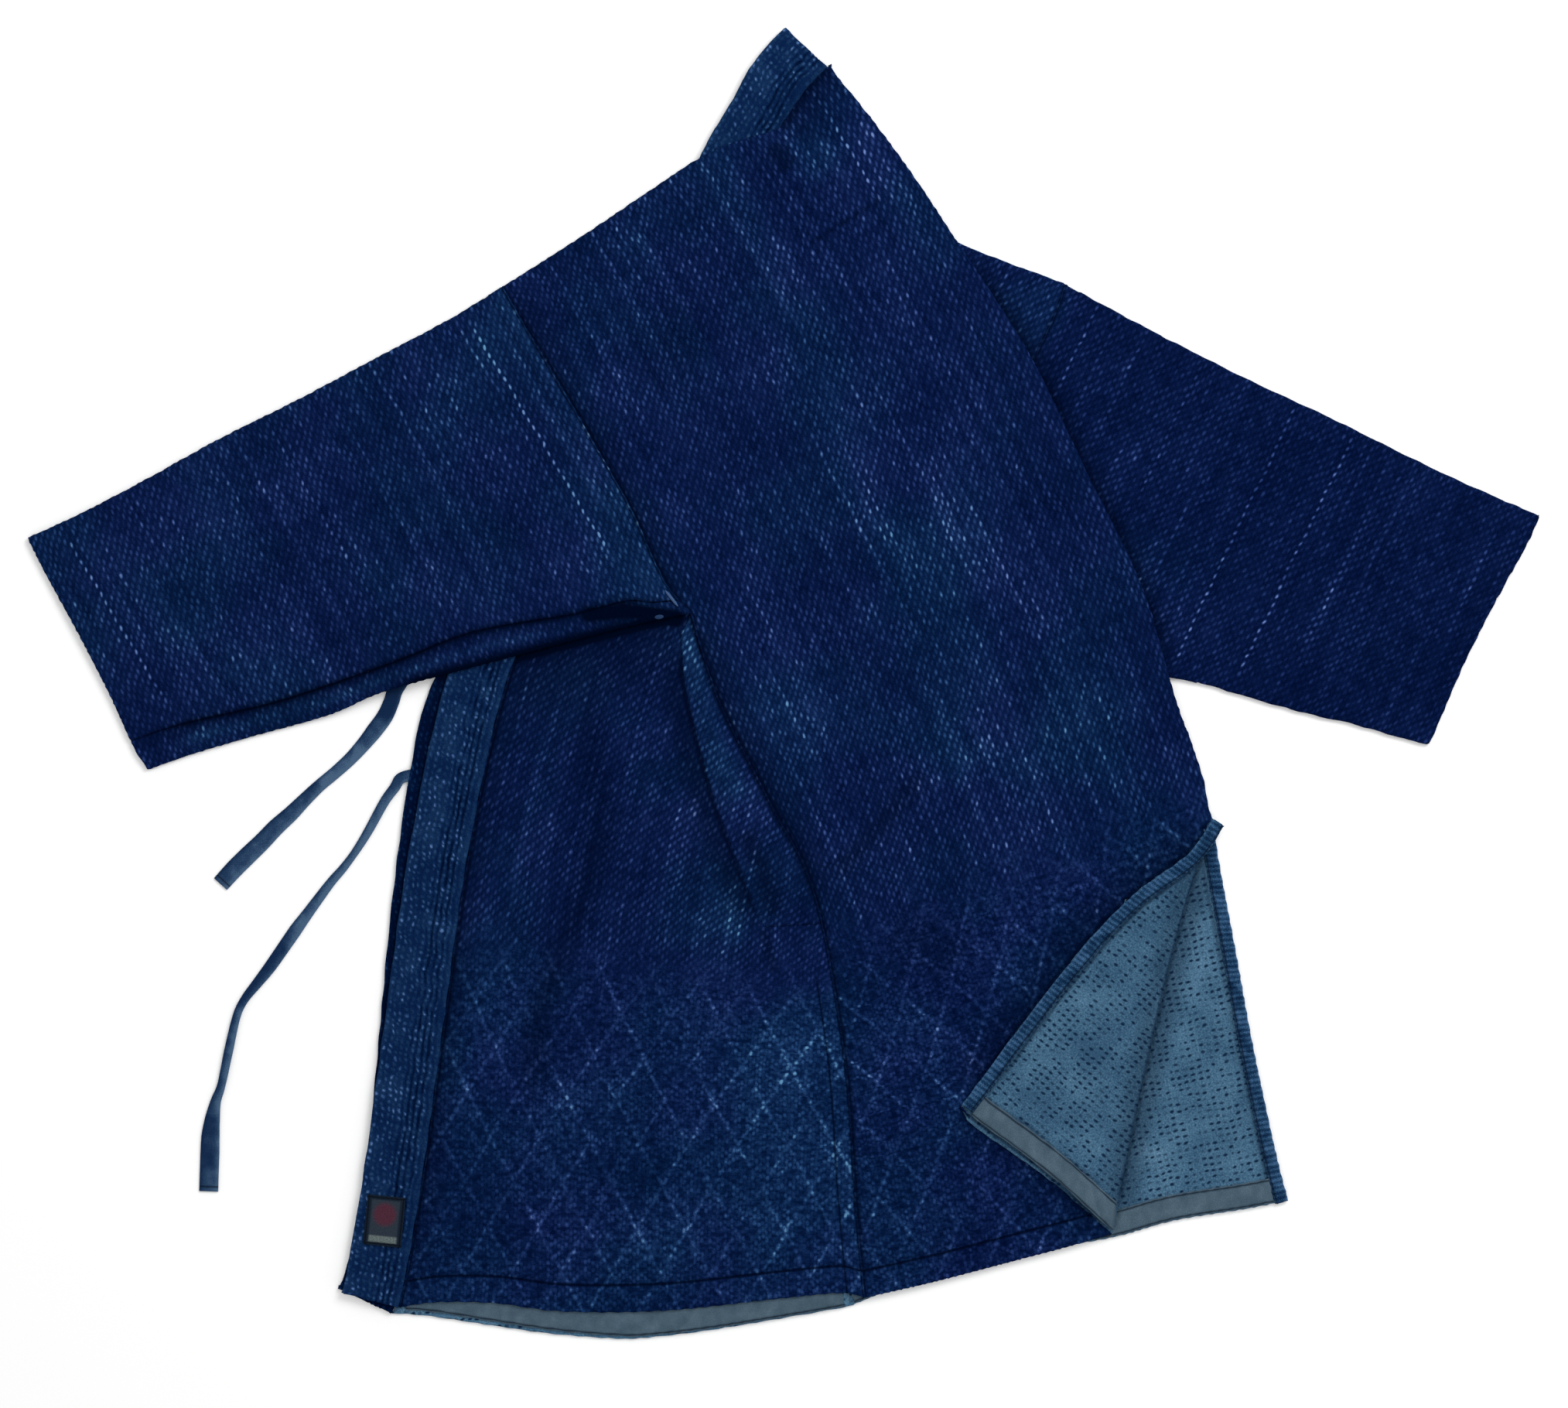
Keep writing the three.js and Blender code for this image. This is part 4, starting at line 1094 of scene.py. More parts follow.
# %% Plain woven cotton
def plain_cotton(name, dark, middle, pale, ribs=(1.2, 1.2), rib_tone=0.1, mottle=0.5, depth=0.3):
    """Plain cotton in three shades, mottled, with the ribs of its weave across and along."""
    material, tree, shader = cloth_material(name)
    weave, moved = wandering(tree, 12.0, 0.8)
    split = add(tree, SPLIT, moved)
    rib = 1.0
    for axis, pitch in zip("XY", ribs):
        if pitch:  # 0 leaves out the ribs that run this way
            turn = add(tree, MATH, split.outputs[axis], 2 * math.pi / pitch, operation="MULTIPLY")
            wave = add(tree, MATH, turn, operation="SINE")
            rib = add(tree, MATH, wave, rib, operation="MULTIPLY")
    fibre = noise(tree, weave, 0.9)
    tone = add(tree, MATH, noise(tree, weave, 10, 3.0), mottle, 0.5 - mottle, operation="MULTIPLY_ADD")
    tone = add(tree, MATH, fibre, mottle, tone, operation="MULTIPLY_ADD")
    tone = add(tree, MATH, rib, rib_tone, tone, operation="MULTIPLY_ADD")
    # Worn places are paler, and where a tie turns it gets streaks of painted highlight and painted shade.
    fade = add(tree, PAINTED, attribute_name="fade")
    tone = add(tree, MATH, tone, fade.outputs["Fac"], operation="ADD")
    colour = ramped(tree, tone, ((0.2, dark), (0.5, middle), (0.8, pale)))
    colour = darkened_by_thread_and_shade(tree, colour, "#0a1424")
    height = add(tree, MATH, rib, 0.5, fibre, operation="MULTIPLY_ADD")
    finished(tree, shader, colour, height, depth)
    return material


# %% [markdown]
# ## All the materials
#
# The same cloth is used for the whole jacket, but a panel has its own material where it shows pale
# rows at places of its own, or where its skirt starts at another v. The palest rows of the sleeves
# are listed here, and chance makes the rest.

# %% All the materials
BACK_PALE_ROWS = [(84.0, 52.0, 137.0, 0.6)]
LEFT_PALE_ROWS = [
    (-36.0, 10.0, 215.0, 0.75), (-78.6, 6.0, 235.0, 0.25), (-208.0, 3.0, 203.0, 0.35),
    (-308.0, 0.0, 140.0, 0.25), (-385.6, -1.0, 143.0, 0.65),
]
RIGHT_PALE_ROWS = [
    (198.0, 12.0, 223.0, 0.8), (247.0, 11.0, 212.0, 0.9), (70.0, 16.0, 86.0, 0.5),
    (285.0, 56.0, 175.0, 0.6), (27.5, 4.0, 77.0, 0.6), (120.0, 23.0, 121.0, 0.45),
    (378.0, 38.0, 112.0, 0.45),
]
INSIDE = inside_cloth("pale inside of sashiko cotton")
BACK_CLOTH = outside_cloth("indigo sashiko cotton of the backs", 647.0, BACK_PALE_ROWS, 1.1)
FRONT_CLOTH = outside_cloth("indigo sashiko cotton of the fronts", 230.0)
LEFT_CLOTH = outside_cloth("indigo sashiko cotton of the left sleeve", pale_rows=LEFT_PALE_ROWS)
RIGHT_CLOTH = outside_cloth("indigo sashiko cotton of the right sleeve", pale_rows=RIGHT_PALE_ROWS)
BAND_CLOTH = band_cloth("quilted indigo band cotton")
TAPE_CLOTH = plain_cotton("grey twill hem tape", "#3a4c5b", "#4a5e6d", "#5f7382")
BINDING_CLOTH = plain_cotton("ribbed blue binding", "#071b36", "#1c3a5a", "#3f6287",
                             ribs=(0, 4.1), rib_tone=0.12, mottle=0.7, depth=0.6)
TIE_CLOTH = plain_cotton("flat blue tie tape", "#14294a", "#27405f", "#48627f", ribs=(1.4, 1.4))
PALE_THREAD = plain_cotton("pale blue thread", "#24385c", "#41587f", "#6d82a6")
# The same pale thread, darker, for a tack that lies in the hollow under the arm: painted shade.
SHADED_THREAD = plain_cotton("pale blue thread in painted shade", "#12213d", "#24385a", "#41587f")
print("materials:", [material.name for material in bpy.data.materials])

# %% [markdown]
# ## The label's cloth
#
# The label is woven in several colours: a dark border, a dull red round field and a pale strip. It
# could have a small image, but distances in its UV map draw such plain shapes just as well.

# %% The label's cloth
FIELD_MIDDLE = 14.0
FIELD_RADII = (6.5, 10.5)
BORDER_SIDES = (10.0, 11.4)
BORDER_TOP = (2.6, 3.6)
BORDER_FOOT = (35.0, 36.0)
STRIP_FROM = (30.0, 31.0)


def label_cloth(name):
    """A plain woven label: a dark border, a dull red field and a pale strip."""
    material, tree, shader = cloth_material(name)
    weave = add(tree, "ShaderNodeUVMap", uv_map="weave")
    split = add(tree, SPLIT, weave)
    middle = add(tree, VECTOR, weave, (0, -FIELD_MIDDLE, 0), operation="ADD")
    red = add(tree, VECTOR, middle, operation="LENGTH")
    red = add(tree, RANGE, red.outputs["Value"], FIELD_RADII[1], FIELD_RADII[0], 0.0, 1.0)
    border = add(tree, MATH, split.outputs["X"], operation="ABSOLUTE")
    border = add(tree, RANGE, border, *BORDER_SIDES, 0.0, 1.0)
    top = add(tree, RANGE, split.outputs["Y"], BORDER_TOP[1], BORDER_TOP[0], 0.0, 1.0)
    foot = add(tree, RANGE, split.outputs["Y"], *BORDER_FOOT, 0.0, 1.0)
    ends = add(tree, MATH, top, foot, operation="MAXIMUM")
    border = add(tree, MATH, border, ends, operation="MAXIMUM")
    strip = add(tree, RANGE, split.outputs["Y"], *STRIP_FROM, 0.0, 1.0)
    fibre = noise(tree, weave, 0.9)
    colour = blended(tree, red, linear("#38424c"), linear("#652f3e"))
    colour = blended(tree, strip, colour, linear("#7d8a88"))
    colour = blended(tree, border, colour, linear("#1a2533"))
    colour = blended(tree, fibre.outputs[0], colour, linear("#19232f"))
    colour = darkened_by_thread_and_shade(tree, colour, "#080c14")
    finished(tree, shader, colour, fibre, 0.15)
    return material


LABEL_CLOTH = label_cloth("plain woven label")
print("made:", LABEL_CLOTH.name)


# %% [markdown]
# ## The right front
#
# The right half lies lowest. Its front is on the table with the inside up, and nearly all of it is
# hidden. It could be left out, but it carries all that lies on it, and it shows past the hem. So
# it is one plain panel with a coarser grid, its outside facing down.

# %% Right front
SHOULDER_Y = 400
seam_right = between(beside(COLLAR["right"], COLLAR_WIDTH / 2 + GAP), high=SHOULDER_Y)
laid(
    "front_right",
    [panel(
        (
            back(seam_right),
            joined(EDGE["side_right"], back(EDGE["armhole_right"])),
            back(EDGE["hem_front_right"]),
            smooth(seam_right[0], SHOULDER_TOP, (136, 337), SHOULDER_RIGHT),
        ),
        raised("front_right", False, CLOTH), bent((0, SHOULDER_Y), 900, -90),
        [("low", "hem", 0, 1.2)], step=6.0,
    )],
    CLOTH, [INSIDE, FRONT_CLOTH],
)

# %% [markdown]
# ## Sleeves
#
# A sleeve that lies flat is a tube pressed together: two walls that meet in folds above and below.
# A cylinder could be scaled flat, but its ends would not follow the cuff and the armhole. So both
# walls are panels between the same edges. Near a fold they are drawn to the height between them
# along a quarter circle, so the folds are round, and where they meet their points are merged.

# %% Flattened tubes
MERGE_WITHIN = 0.02


def tube(node, blocks, spine, features, **more):
    """The two walls of a flattened tube. Blocks are (left, right, low, high)."""
    top, bottom = relief(node, True), relief(node, False)
    bm = bmesh.new()
    parts = []
    for edges, sides in zip(blocks, features):
        points, away = stretched(*edges, features=sides)
        points = frayed(points, away)
        sewn = [f for f in sides if f[1] != "fold"]
        lift, layers = settled(points, away, sewn, on_spine(points, spine), **more)
        upper, lower = top(points) + lift, bottom(points)
        middle, full = (top(points) + lower) / 2, np.ones_like(upper)
        for side, kind, *_ in sides:
            if kind == "fold":
                inside = np.clip(1 - away[side] / FOLD_RADIUS, 0, 1)
                full = np.minimum(full, np.sqrt(1 - inside**2))
        for z, facing in ((upper, 1), (lower, -1)):
            parts.append((points, middle + (z - middle) * full, layers, 0))
            grid_into(bm, *parts[-1], facing=facing)
    bmesh.ops.remove_doubles(bm, verts=bm.verts, dist=MERGE_WITHIN * MM)
    width, length, area = cut_of(parts)
    return bm, (width, 2 * length, area)


# %% [markdown]
# ## The right sleeve
#
# It comes out from under the back, has a warp of its own, and has kept more of its dye than the
# rest. A dark line lies beside the back, where little light gets in. The lamps could make it, but
# soft light loses so thin a gap. So the cloth is shaded there, with a thin dark line and a wide
# soft one, and so it is wherever one layer lies on another.

# %% Shades beside a line
def shade_beside(line, *rows):
    """Shades along a line. Each row is a distance from it, a half width and an amount."""
    return [(beside(line, distance), half_width, amount) for distance, half_width, amount in rows]


# %% Right sleeve
SLEEVE_WALL = 1.9
WARP_RIGHT = bent(SHOULDER_RIGHT, 400, -115.5)
over_sleeve = shade_beside(between(EDGE["centre_back"], 0, 330), (-1.5, 4.5, 0.9), (-4, 13, 0.4))
bm, flat = tube(
    "sleeve_right",
    [(back(EDGE["armhole_right"]), back(EDGE["cuff_right"]), back(EDGE["sleeve_low_right"]),
      EDGE["sleeve_top_right"])],
    WARP_RIGHT,
    [[("low", "fold", 0, 0), ("high", "fold", 0, 0), ("right", "hem", 0, 0.8),
      ("left", "stitch", 0.8, 0.7), ("left", "step", FELLED_BAND, 0.7),
      ("left", "worn", 10, 0.24)]],
    shades=[*over_sleeve, *shade_beside(EDGE["cuff_right"], (-10, 2.0, 0.3))],
    fades=[(313, 61, 45, 0.2), (262, 95, 25, 0.12), (378, 138, 60, -0.14)], faded=-0.22,
    creases=[(smooth((262, 60), (330, 60), (400, 40)), 26, 1.0)],
    wave=0.5, seed=4,
)
cloth_piece("sleeve_right", bm, SLEEVE_WALL, [RIGHT_CLOTH, INSIDE])

# %% [markdown]
# ## The right back
#
# This panel is turned under along the centre back and shows its inside beside the vent. Its part
# at the shoulder stays with the outside up. One sheet could be bent round the fold, but the fold
# is out of sight between the layers. So two panels are put into one mesh, each with the material
# that faces up, and the turned one has its edge rounded where it shows.

# %% Right back
TIP_WIDTH = 0.2
BINDING_SHADE = BINDING_WIDTH + 1.4


def tip(place):
    """A side of almost no length, for a panel that ends in a point."""
    return smooth(place, (place[0] + TIP_WIDTH, place[1]))


# The turned part has its inside up (material 0), and the shoulder its outside (material 1).
turned = panel(
    (
        joined(EDGE["side_right"], EDGE["turn_right"]),
        joined(back(EDGE["vent_right"]), EDGE["centre_back"]),
        back(EDGE["hem_back_right"]),
        back(EDGE["neck_seam"]),
    ),
    raised("back_right", True), bent((300, -60), 380, -78),
    [("right", "fold", 0, 2.0), ("low", "hem", 0, 1.2)],
    shades=[
        # The edge that is turned under, and the shade of the left back and its folded corner.
        (EDGE["centre_back"], 7, 1.7),
        *shade_beside(EDGE["vent_turn"], (-1.2, 3.5, 0.95), (-5, 16, 0.5)),
        *shade_beside(EDGE["vent_right"], (-BINDING_SHADE, 2.6, 0.9)),
    ],
    fades=[(360, -330, 40, -0.08)], faded=-0.03, wave=0.5, seed=6,
)
shoulder = panel(
    (
        joined(smooth(UNDERARM_RIGHT, (58, 165), TURN_TOP), smooth(TURN_TOP, SHOULDER_TOP)),
        back(EDGE["armhole_right"]),
        tip(UNDERARM_RIGHT),
        EDGE["shoulder_right"],
    ),
    raised("back_right", False, CLOTH), WARP_RIGHT,
    [("high", "fold", 0, 2.0), ("right", "stitch", 0.6, 0.5)],
    material=1, shades=over_sleeve, seed=5,
)
laid(
    "back_right", [turned, shoulder], CLOTH, [INSIDE, BACK_CLOTH, INSIDE],
)


# %% [markdown]
# ## Strips
#
# Tapes, bindings, the collar band and the ties are panels that follow a line. A curve with a flat
# profile could make them, but it would leave no rows for hems and stitches. So a strip is a panel
# between two lines beside the one that it follows. Its u runs across and its v along, so its own
# weave bends with it.

# %% A strip in one call
FENCE_GAP = 0.6
PART_POINTS = 80


def strip(along, near, far, height, features=(), step=3.0, fence=None, fray=FRAY, **more):
    """A panel beside a line, from one distance to another, cut off where a fence crosses it."""
    low, high = beside(along, near), beside(along, far)
    if fence is not None:
        low, high = (edge[beside_line(edge, fence)[0] > FENCE_GAP] for edge in (low, high))
    ends = smooth(low[0], high[0]), smooth(low[-1], high[-1])
    points, away = stretched(*ends, low, high, features, step)
    points = frayed(points, away, fray)
    share = away["left"] / (away["left"] + away["right"])
    weave = np.stack([away["low"], share * length_along(along)[-1]], axis=-1)
    lift, layers = settled(points, away, features, weave, **more)
    return points, height(points) + lift, layers, 0


def part_of(edge, start, end):
    """The stretch of an edge between two shares of its length."""
    return walk(edge, np.linspace(start, end, PART_POINTS))


# %% [markdown]
# ## Hem tapes and binding of the right half
#
# The hem is faced inside with a grey tape, and the edge of the vent is bound with a strip folded
# over it. Both could be drawn by the material of the panel, but they have a thickness and a sewn
# edge that catches the light. So each is a strip along the same edge as its panel.

# %% Hem tapes and vent binding of the right half
TAPE_INSET = 0.8
TAPE_UNDER_HEM = 9.0
BINDING_OVERLAP = 0.2
TAPED = [("low", "hem", 0, 0.6), ("high", "hem", 0, 0.7), ("high", "stitch", 1.6, 0.3),
         ("low", "stitch", 1.4, 0.25)]
BOUND = [(side, "hem", 0, 0.8) for side in ("low", "high", "left", "right")]
BOUND += [("high", "stitch", 1.4, 0.3), ("low", "worn", 1.5, 0.2)]

laid(
    "hem_tape_front_right",
    [strip(part_of(EDGE["hem_front_right"], 0.01, 0.985), -TAPE_INSET,
           -HEM_TAPE_WIDTH - TAPE_UNDER_HEM, raised("hem_tape_front_right", True), TAPED)],
    TAPE, [TAPE_CLOTH],
)
laid(
    "hem_tape_back_right",
    [strip(part_of(EDGE["hem_back_right"], 0.032, 0.985), -TAPE_INSET, -HEM_TAPE_WIDTH,
           raised("hem_tape_back_right", True), TAPED,
           shades=shade_beside(EDGE["vent_turn"], (-1.2, 3.5, 0.9)))],
    TAPE, [TAPE_CLOTH],
)
laid(
    "vent_binding_right",
    [strip(EDGE["vent_right"], BINDING_OVERLAP, -BINDING_WIDTH - BINDING_OVERLAP,
           raised("vent_binding_right", True), BOUND)],
    TAPE, [BINDING_CLOTH],
)

# %% [markdown]
# ## The collar band
#
# One long band runs round the neck and down both fronts, and each half of it is a strip here. The
# quilting draws it in along its rows. A Displace modifier could do that for every row, but only
# three grooves are deep enough to change the shape. So these are features of the strip, at the
# distances where the material draws its rows, and they come and go as on a band sewn by hand.

# %% The collar band
RIB = 0.45
DEEP_ROWS = (2, 3, 4)


def now_and_then(points):
    """The quilting draws the band in more at some places than at others."""
    return 0.38 + 0.34 * np.sin(points[..., 1] / 15 + 2 * np.sin(points[..., 0] / 4))


BAND = [("low", "hem", 0, 1.2), ("high", "hem", 0, 1.4), ("left", "fold", 0, 2.0),
        ("right", "hem", 0, 1.4), ("low", "worn", 2.5, 0.14), ("high", "worn", 2.0, 0.14)]
BAND += [("low", "stitch", BAND_ROW * number, 0.6, now_and_then) for number in DEEP_ROWS]
free_edge = beside(COLLAR["left"], -COLLAR_WIDTH / 2)
# The far half of the band is darkened all over, and beside the near half's free edge, as painted shade.
for half, rests_on, faded, shades, seed in (
    ("right", ["floor"], -0.42, shade_beside(free_edge, (-1.0, 6, 0.5)), 11),
    ("left", ["front_left", "collar_right"], 0.0, [], 12),
):
    laid(
        f"collar_{half}",
        [strip(COLLAR[half], COLLAR_WIDTH / 2, -COLLAR_WIDTH / 2,
               raised(f"collar_{half}", False, COLLAR_THICK + RIB), BAND, shades=shades, faded=faded,
               wave=0.4, seed=seed)],
        COLLAR_THICK, [BAND_CLOTH],
    )


# %% [markdown]
# ## The left front
#
# The left half lies on top. Its front lies beside the back, with a deep pleat along the side seam,
# and the sleeve and the back lie on it. A cloth simulation could find its creases, but not the
# ones that the real jacket has. So they are placed one by one: troughs and ridges for the light,
# and shades where cloth lies over cloth. The side seam's allowance shows in the skirt only.

# %% Lines of the left front
WARP_FRONT = bent((-144, 20), 500, -106, -103, -96, -91.5, -91)
SKIRT_TOP = -215
ABOVE_CROSSING, BELOW_CROSSING = COLLAR_CROSSING[1] + 25, COLLAR_CROSSING[1] - 20
seam_left = between(beside(COLLAR["left"], COLLAR_WIDTH / 2 + GAP), high=BELOW_CROSSING)
sleeve_edge = part_of(EDGE["sleeve_low_left"], 0.45, 1.0)
hollow = smooth((-158, 52), (-120, 55), (-100, 53), (-72, 49))
SEWN_HEM = [("low", "hem", 0, 1.2), ("low", "stitch", HEM_STITCH, 0.8),
            ("low", "stitch", HEM_STITCH - 0.7, 0.5)]


def in_skirt(points):
    """1 in the skirt and 0 above it, where the side seam's allowance is out of sight."""
    return np.clip((SKIRT_TOP - points[..., 1]) / 20, 0, 1)


# %% The lower part of the left front
front = panel(
    (back(seam_left), back(EDGE["side_left"]), EDGE["hem_front_left"],
     smooth(seam_left[0], (-100, 110), UNDERARM_LEFT)),
    raised("front_left", False, CLOTH), WARP_FRONT,
    [*SEWN_HEM, ("left", "stitch", 1.2, 0.8), ("right", "stitch", 1.0, 0.6),
     ("right", "step", 14, 0.4, in_skirt), ("right", "stitch", 14, 0.4, in_skirt),
     ("right", "worn", 12, 0.14, in_skirt)],
    creases=[
        # A trough below the sleeve, the swell under the pleat, and a trough in the skirt.
        (smooth((-149, -60), (-140, -140), (-125, -225)), 26, -1.4),
        (smooth((-70, -90), (-45, -150), (-30, -215)), 32, 1.6),
        (smooth((-216, -210), (-200, -290), (-205, -360)), 30, -1.0),
    ],
    shades=[
        # Beside the collar band, under the pleat and where it ends.
        *shade_beside(seam_left, (1.6, 3.4, 0.95), (6, 16, 0.35)),
        *shade_beside(EDGE["pleat"], (-1.6, 5.0, 1.0), (-7, 20, 0.6)),
        (smooth(PLEAT_LOW, (-12, -200), (-6, -222)), 7, 0.6),
        # Under the sleeve, and in the hollow under the arm.
        *shade_beside(sleeve_edge, (-1, 10, 1.6), (-8, 24, 0.6), (-16, 56, 0.45)),
        (hollow, 13, 2.0),
        # Two long troughs of the open cloth.
        (smooth((-137, -95), (-152, -160), (-185, -250), (-190, -320)), 17, 0.5),
        (smooth((-150, 0), (-146, -60), (-137, -113)), 22, 0.3),
    ],
    fades=[
        # The skirt is palest near the side seam.
        (-173, -39, 44, -0.08), (-90, -130, 42, -0.03), (-80, -215, 48, 0.06),
        (-36, -241, 36, -0.04), (-83, -385, 75, 0.16), (0, -305, 50, 0.36), (-150, -310, 60, 0.04),
        (-45, -170, 26, 0.12), (-225, -400, 45, -0.1), (25, -400, 50, 0.22),
    ],
    # A paler streak on the crest of the swell over the pleat's end: painted highlight.
    streaks=[(smooth((-66, -98), (-48, -150), (-31, -205)), 16, 0.16)],
    wave=0.5, seed=21,
)

# %% The shoulder of the left front, and the pleat
PLEAT_LIFT = 0.9
past_band = beside(COLLAR["left"], -COLLAR_WIDTH / 2 - GAP)
shoulder_side = between(past_band, ABOVE_CROSSING, SHOULDER_Y)
armhole_top = between(EDGE["armhole_left"], ABOVE_CROSSING)
shoulder_front = panel(
    (back(armhole_top), back(shoulder_side), smooth(armhole_top[-1], shoulder_side[-1]),
     smooth(SHOULDER_LEFT, (-130, 353), shoulder_side[0])),
    raised("front_left", False, CLOTH), WARP_FRONT, [("high", "hem", 0, 1.2)], seed=22, step=6.0,
)
pleat_side = between(EDGE["side_left"], PLEAT_LOW[1])
pleat = panel(
    (back(EDGE["pleat"]), back(pleat_side), smooth(PLEAT_LOW, pleat_side[-1]),
     smooth(PLEAT_TOP, UNDERARM_LEFT)),
    raised("front_left", True, PLEAT_LIFT), WARP_FRONT,
    [("left", "fold", 0, 3.0), ("right", "stitch", 1.0, 0.7), ("left", "worn", 16, 0.1)],
    shades=[
        *shade_beside(pleat_side, (-1.0, 3.4, 0.9)),
        (smooth((-30, -110), (-14, -145), (-6, -180)), 13, 0.6),
    ],
    creases=[(beside(EDGE["pleat"], 14), 12, 1.2)],
    streaks=[(smooth((-74, 64), (-72, 30), (-60, -20), (-44, -62), (-30, -95)), 18, 0.3)],
    wave=0.5, seed=23, step=2.5,
)
laid(
    "front_left", [front, shoulder_front, pleat], CLOTH, [FRONT_CLOTH, INSIDE],
)

# %% [markdown]
# ## The left sleeve
#
# Its seam does not lie in the fold but runs along its lower side, on top, and between the seam and
# the fold the cloth bulges into a soft roll. The seam could be a crease in one wall. But its
# threads are drawn in just there, so the tube is made of two blocks that meet at the seam, and
# each has a stitch along it.

# %% Left sleeve
WARP_LEFT = bent(SHOULDER_LEFT, 400, -59)
SEAM_AT_CUFF, SEAM_AT_ARM = -44, 64
ROLL_POINTS = 60
cuff, armhole = back(EDGE["cuff_left"]), back(EDGE["armhole_left"])
cuff_low, cuff_high = between(cuff, high=SEAM_AT_CUFF), between(cuff, SEAM_AT_CUFF)
arm_low, arm_high = between(armhole, high=SEAM_AT_ARM), between(armhole, SEAM_AT_ARM)
sleeve_seam = smooth(cuff_high[0], (-457, -30), (-388, -14), (-301, 15), (-238, 39), (-160, 53),
                     (-120, 63), (-100, 62), arm_high[0])
# The roll lies halfway between the seam and the fold.
shares = np.linspace(0, 1, ROLL_POINTS)
halfway = (walk(sleeve_seam, shares) + walk(EDGE["sleeve_low_left"], shares)) / 2
roll = part_of(halfway, 0.05, 0.8)
bm, flat = tube(
    "sleeve_left",
    [
        (joined(cuff_low, cuff_high[:1]), joined(arm_low, arm_high[:1]), EDGE["sleeve_low_left"],
         sleeve_seam),
        (cuff_high, arm_high, sleeve_seam, back(EDGE["sleeve_top_left"])),
    ],
    WARP_LEFT,
    [
        [("low", "fold", 0, 0), ("high", "stitch", 0, 0.9), ("left", "hem", 0, 0.8)],
        [("high", "fold", 0, 0), ("low", "stitch", 0, 0.9), ("left", "hem", 0, 0.8),
         ("right", "stitch", 1, 0.6), ("right", "step", FELLED_BAND, 0.6),
         ("right", "worn", 6, 0.2)],
    ],
    creases=[(roll, 11, 2.6), *shade_beside(sleeve_seam, (-0.6, 5, -1.2))],
    shades=[
        *shade_beside(sleeve_seam, (-0.6, 4.2, 1.1), (-3.0, 11, 0.4)),
        *shade_beside(sleeve_edge, (1.0, 8, 1.3)),
        (hollow, 11, 1.7),
    ],
    # The crown of the roll is paler: painted highlight.
    streaks=[(roll, 7, 0.3)],
    fades=[(-104, 92, 30, 0.16), (-131, 138, 30, 0.12), (-239, 262, 36, 0.12), (-479, 43, 70, 0.06),
           (-290, 120, 60, -0.03)],
    faded=0.06, wave=0.5, seed=24,
)
cloth_piece("sleeve_left", bm, SLEEVE_WALL, [LEFT_CLOTH, INSIDE])

# %% [markdown]
# ## The left back
#
# This is the largest panel and lies on top of nearly all the others. Its warp runs down from the
# shoulder and bends as the panel is pulled round, so its spine is bent too. Its creases could be
# left to the weave, but they show how the jacket was laid down. The darkest shades lie along its
# seams and where the folded corner lies on it, and the palest patches where it has rubbed.

# %% Left back
side_upper = between(EDGE["side_left"], -170, 60)
back_main = panel(
    (
        back(joined(EDGE["armhole_left"], EDGE["side_left"])),
        joined(EDGE["vent_turn"], EDGE["centre_back"]),
        EDGE["hem_back_left"],
        joined(back(EDGE["shoulder_left"]), back(EDGE["neck_seam"])),
    ),
    raised("back_left", False, CLOTH),
    bent((-75, 445), 1000, -54, -60, -62, -62, -66, -72, -79, -82),
    [*SEWN_HEM, ("left", "stitch", 1.0, 0.7), ("right", "fold", 0, 2.0), ("high", "fold", 0, 2.0)],
    creases=[(smooth((120, 330), (190, 230), (262, 100)), 40, 1.2)],
    shades=[
        # The seams with the sleeve, the front and the collar band.
        *shade_beside(EDGE["armhole_left"], (1.5, 3.4, 0.95), (7, 18, 0.3)),
        *shade_beside(side_upper, (2.5, 7, 0.8), (6, 20, 0.35)),
        *shade_beside(EDGE["side_left"], (1.2, 2.6, 0.85)),
        *shade_beside(EDGE["neck_seam"], (2.4, 5.5, 0.97), (8, 22, 0.35)),
        # A dent below the neck, creases of the open cloth, and the thin fold near the shoulder.
        (smooth((-10, 412), (-2, 402), (4, 392)), 13, 0.6),
        (smooth((37, -149), (66, -118), (88, -92), (109, -65)), 14, 0.45),
        (smooth((-75, 300), (-83, 259), (-95, 220)), 24, 0.12),
        (smooth((80, -190), (112, -200), (135, -215)), 34, 0.3),
        (smooth((78, 372), (20, 336)), 1.8, 0.85),
        # Round the folded corner.
        *shade_beside(EDGE["flap_vent"], (-1.5, 5, 0.95), (-7, 26, 0.48)),
        *shade_beside(EDGE["flap_hem"], (-2, 6, 0.85), (-6, 16, 0.4)),
    ],
    fades=[
        # Palest in the small of the back and beside the hips, darkest above the skirt.
        (50, 195, 50, 0.05), (75, 145, 40, 0.06), (115, 85, 50, 0.26), (-19, -29, 34, 0.18),
        (30, -10, 40, 0.12), (145, -41, 45, 0.14), (228, -38, 40, 0.28), (165, -130, 34, 0.14),
        (24, 400, 20, 0.2), (-35, 393, 36, 0.12), (60, -300, 30, 0.1), (50, 320, 70, 0.14),
        (118, -197, 46, -0.14), (105, -335, 60, -0.06), (82, -100, 30, -0.1), (241, 109, 30, -0.16),
        (111, -211, 30, -0.06),
    ],
    streaks=[
        (smooth((-119, 355), (-77, 283), (-35, 211)), 8, 0.14),
        (smooth((195, 225), (228, 160), (258, 92)), 9, 0.05),
        (smooth((112, -30), (135, -75), (152, -110)), 12, 0.14),
    ],
    wave=0.6, seed=31,
)

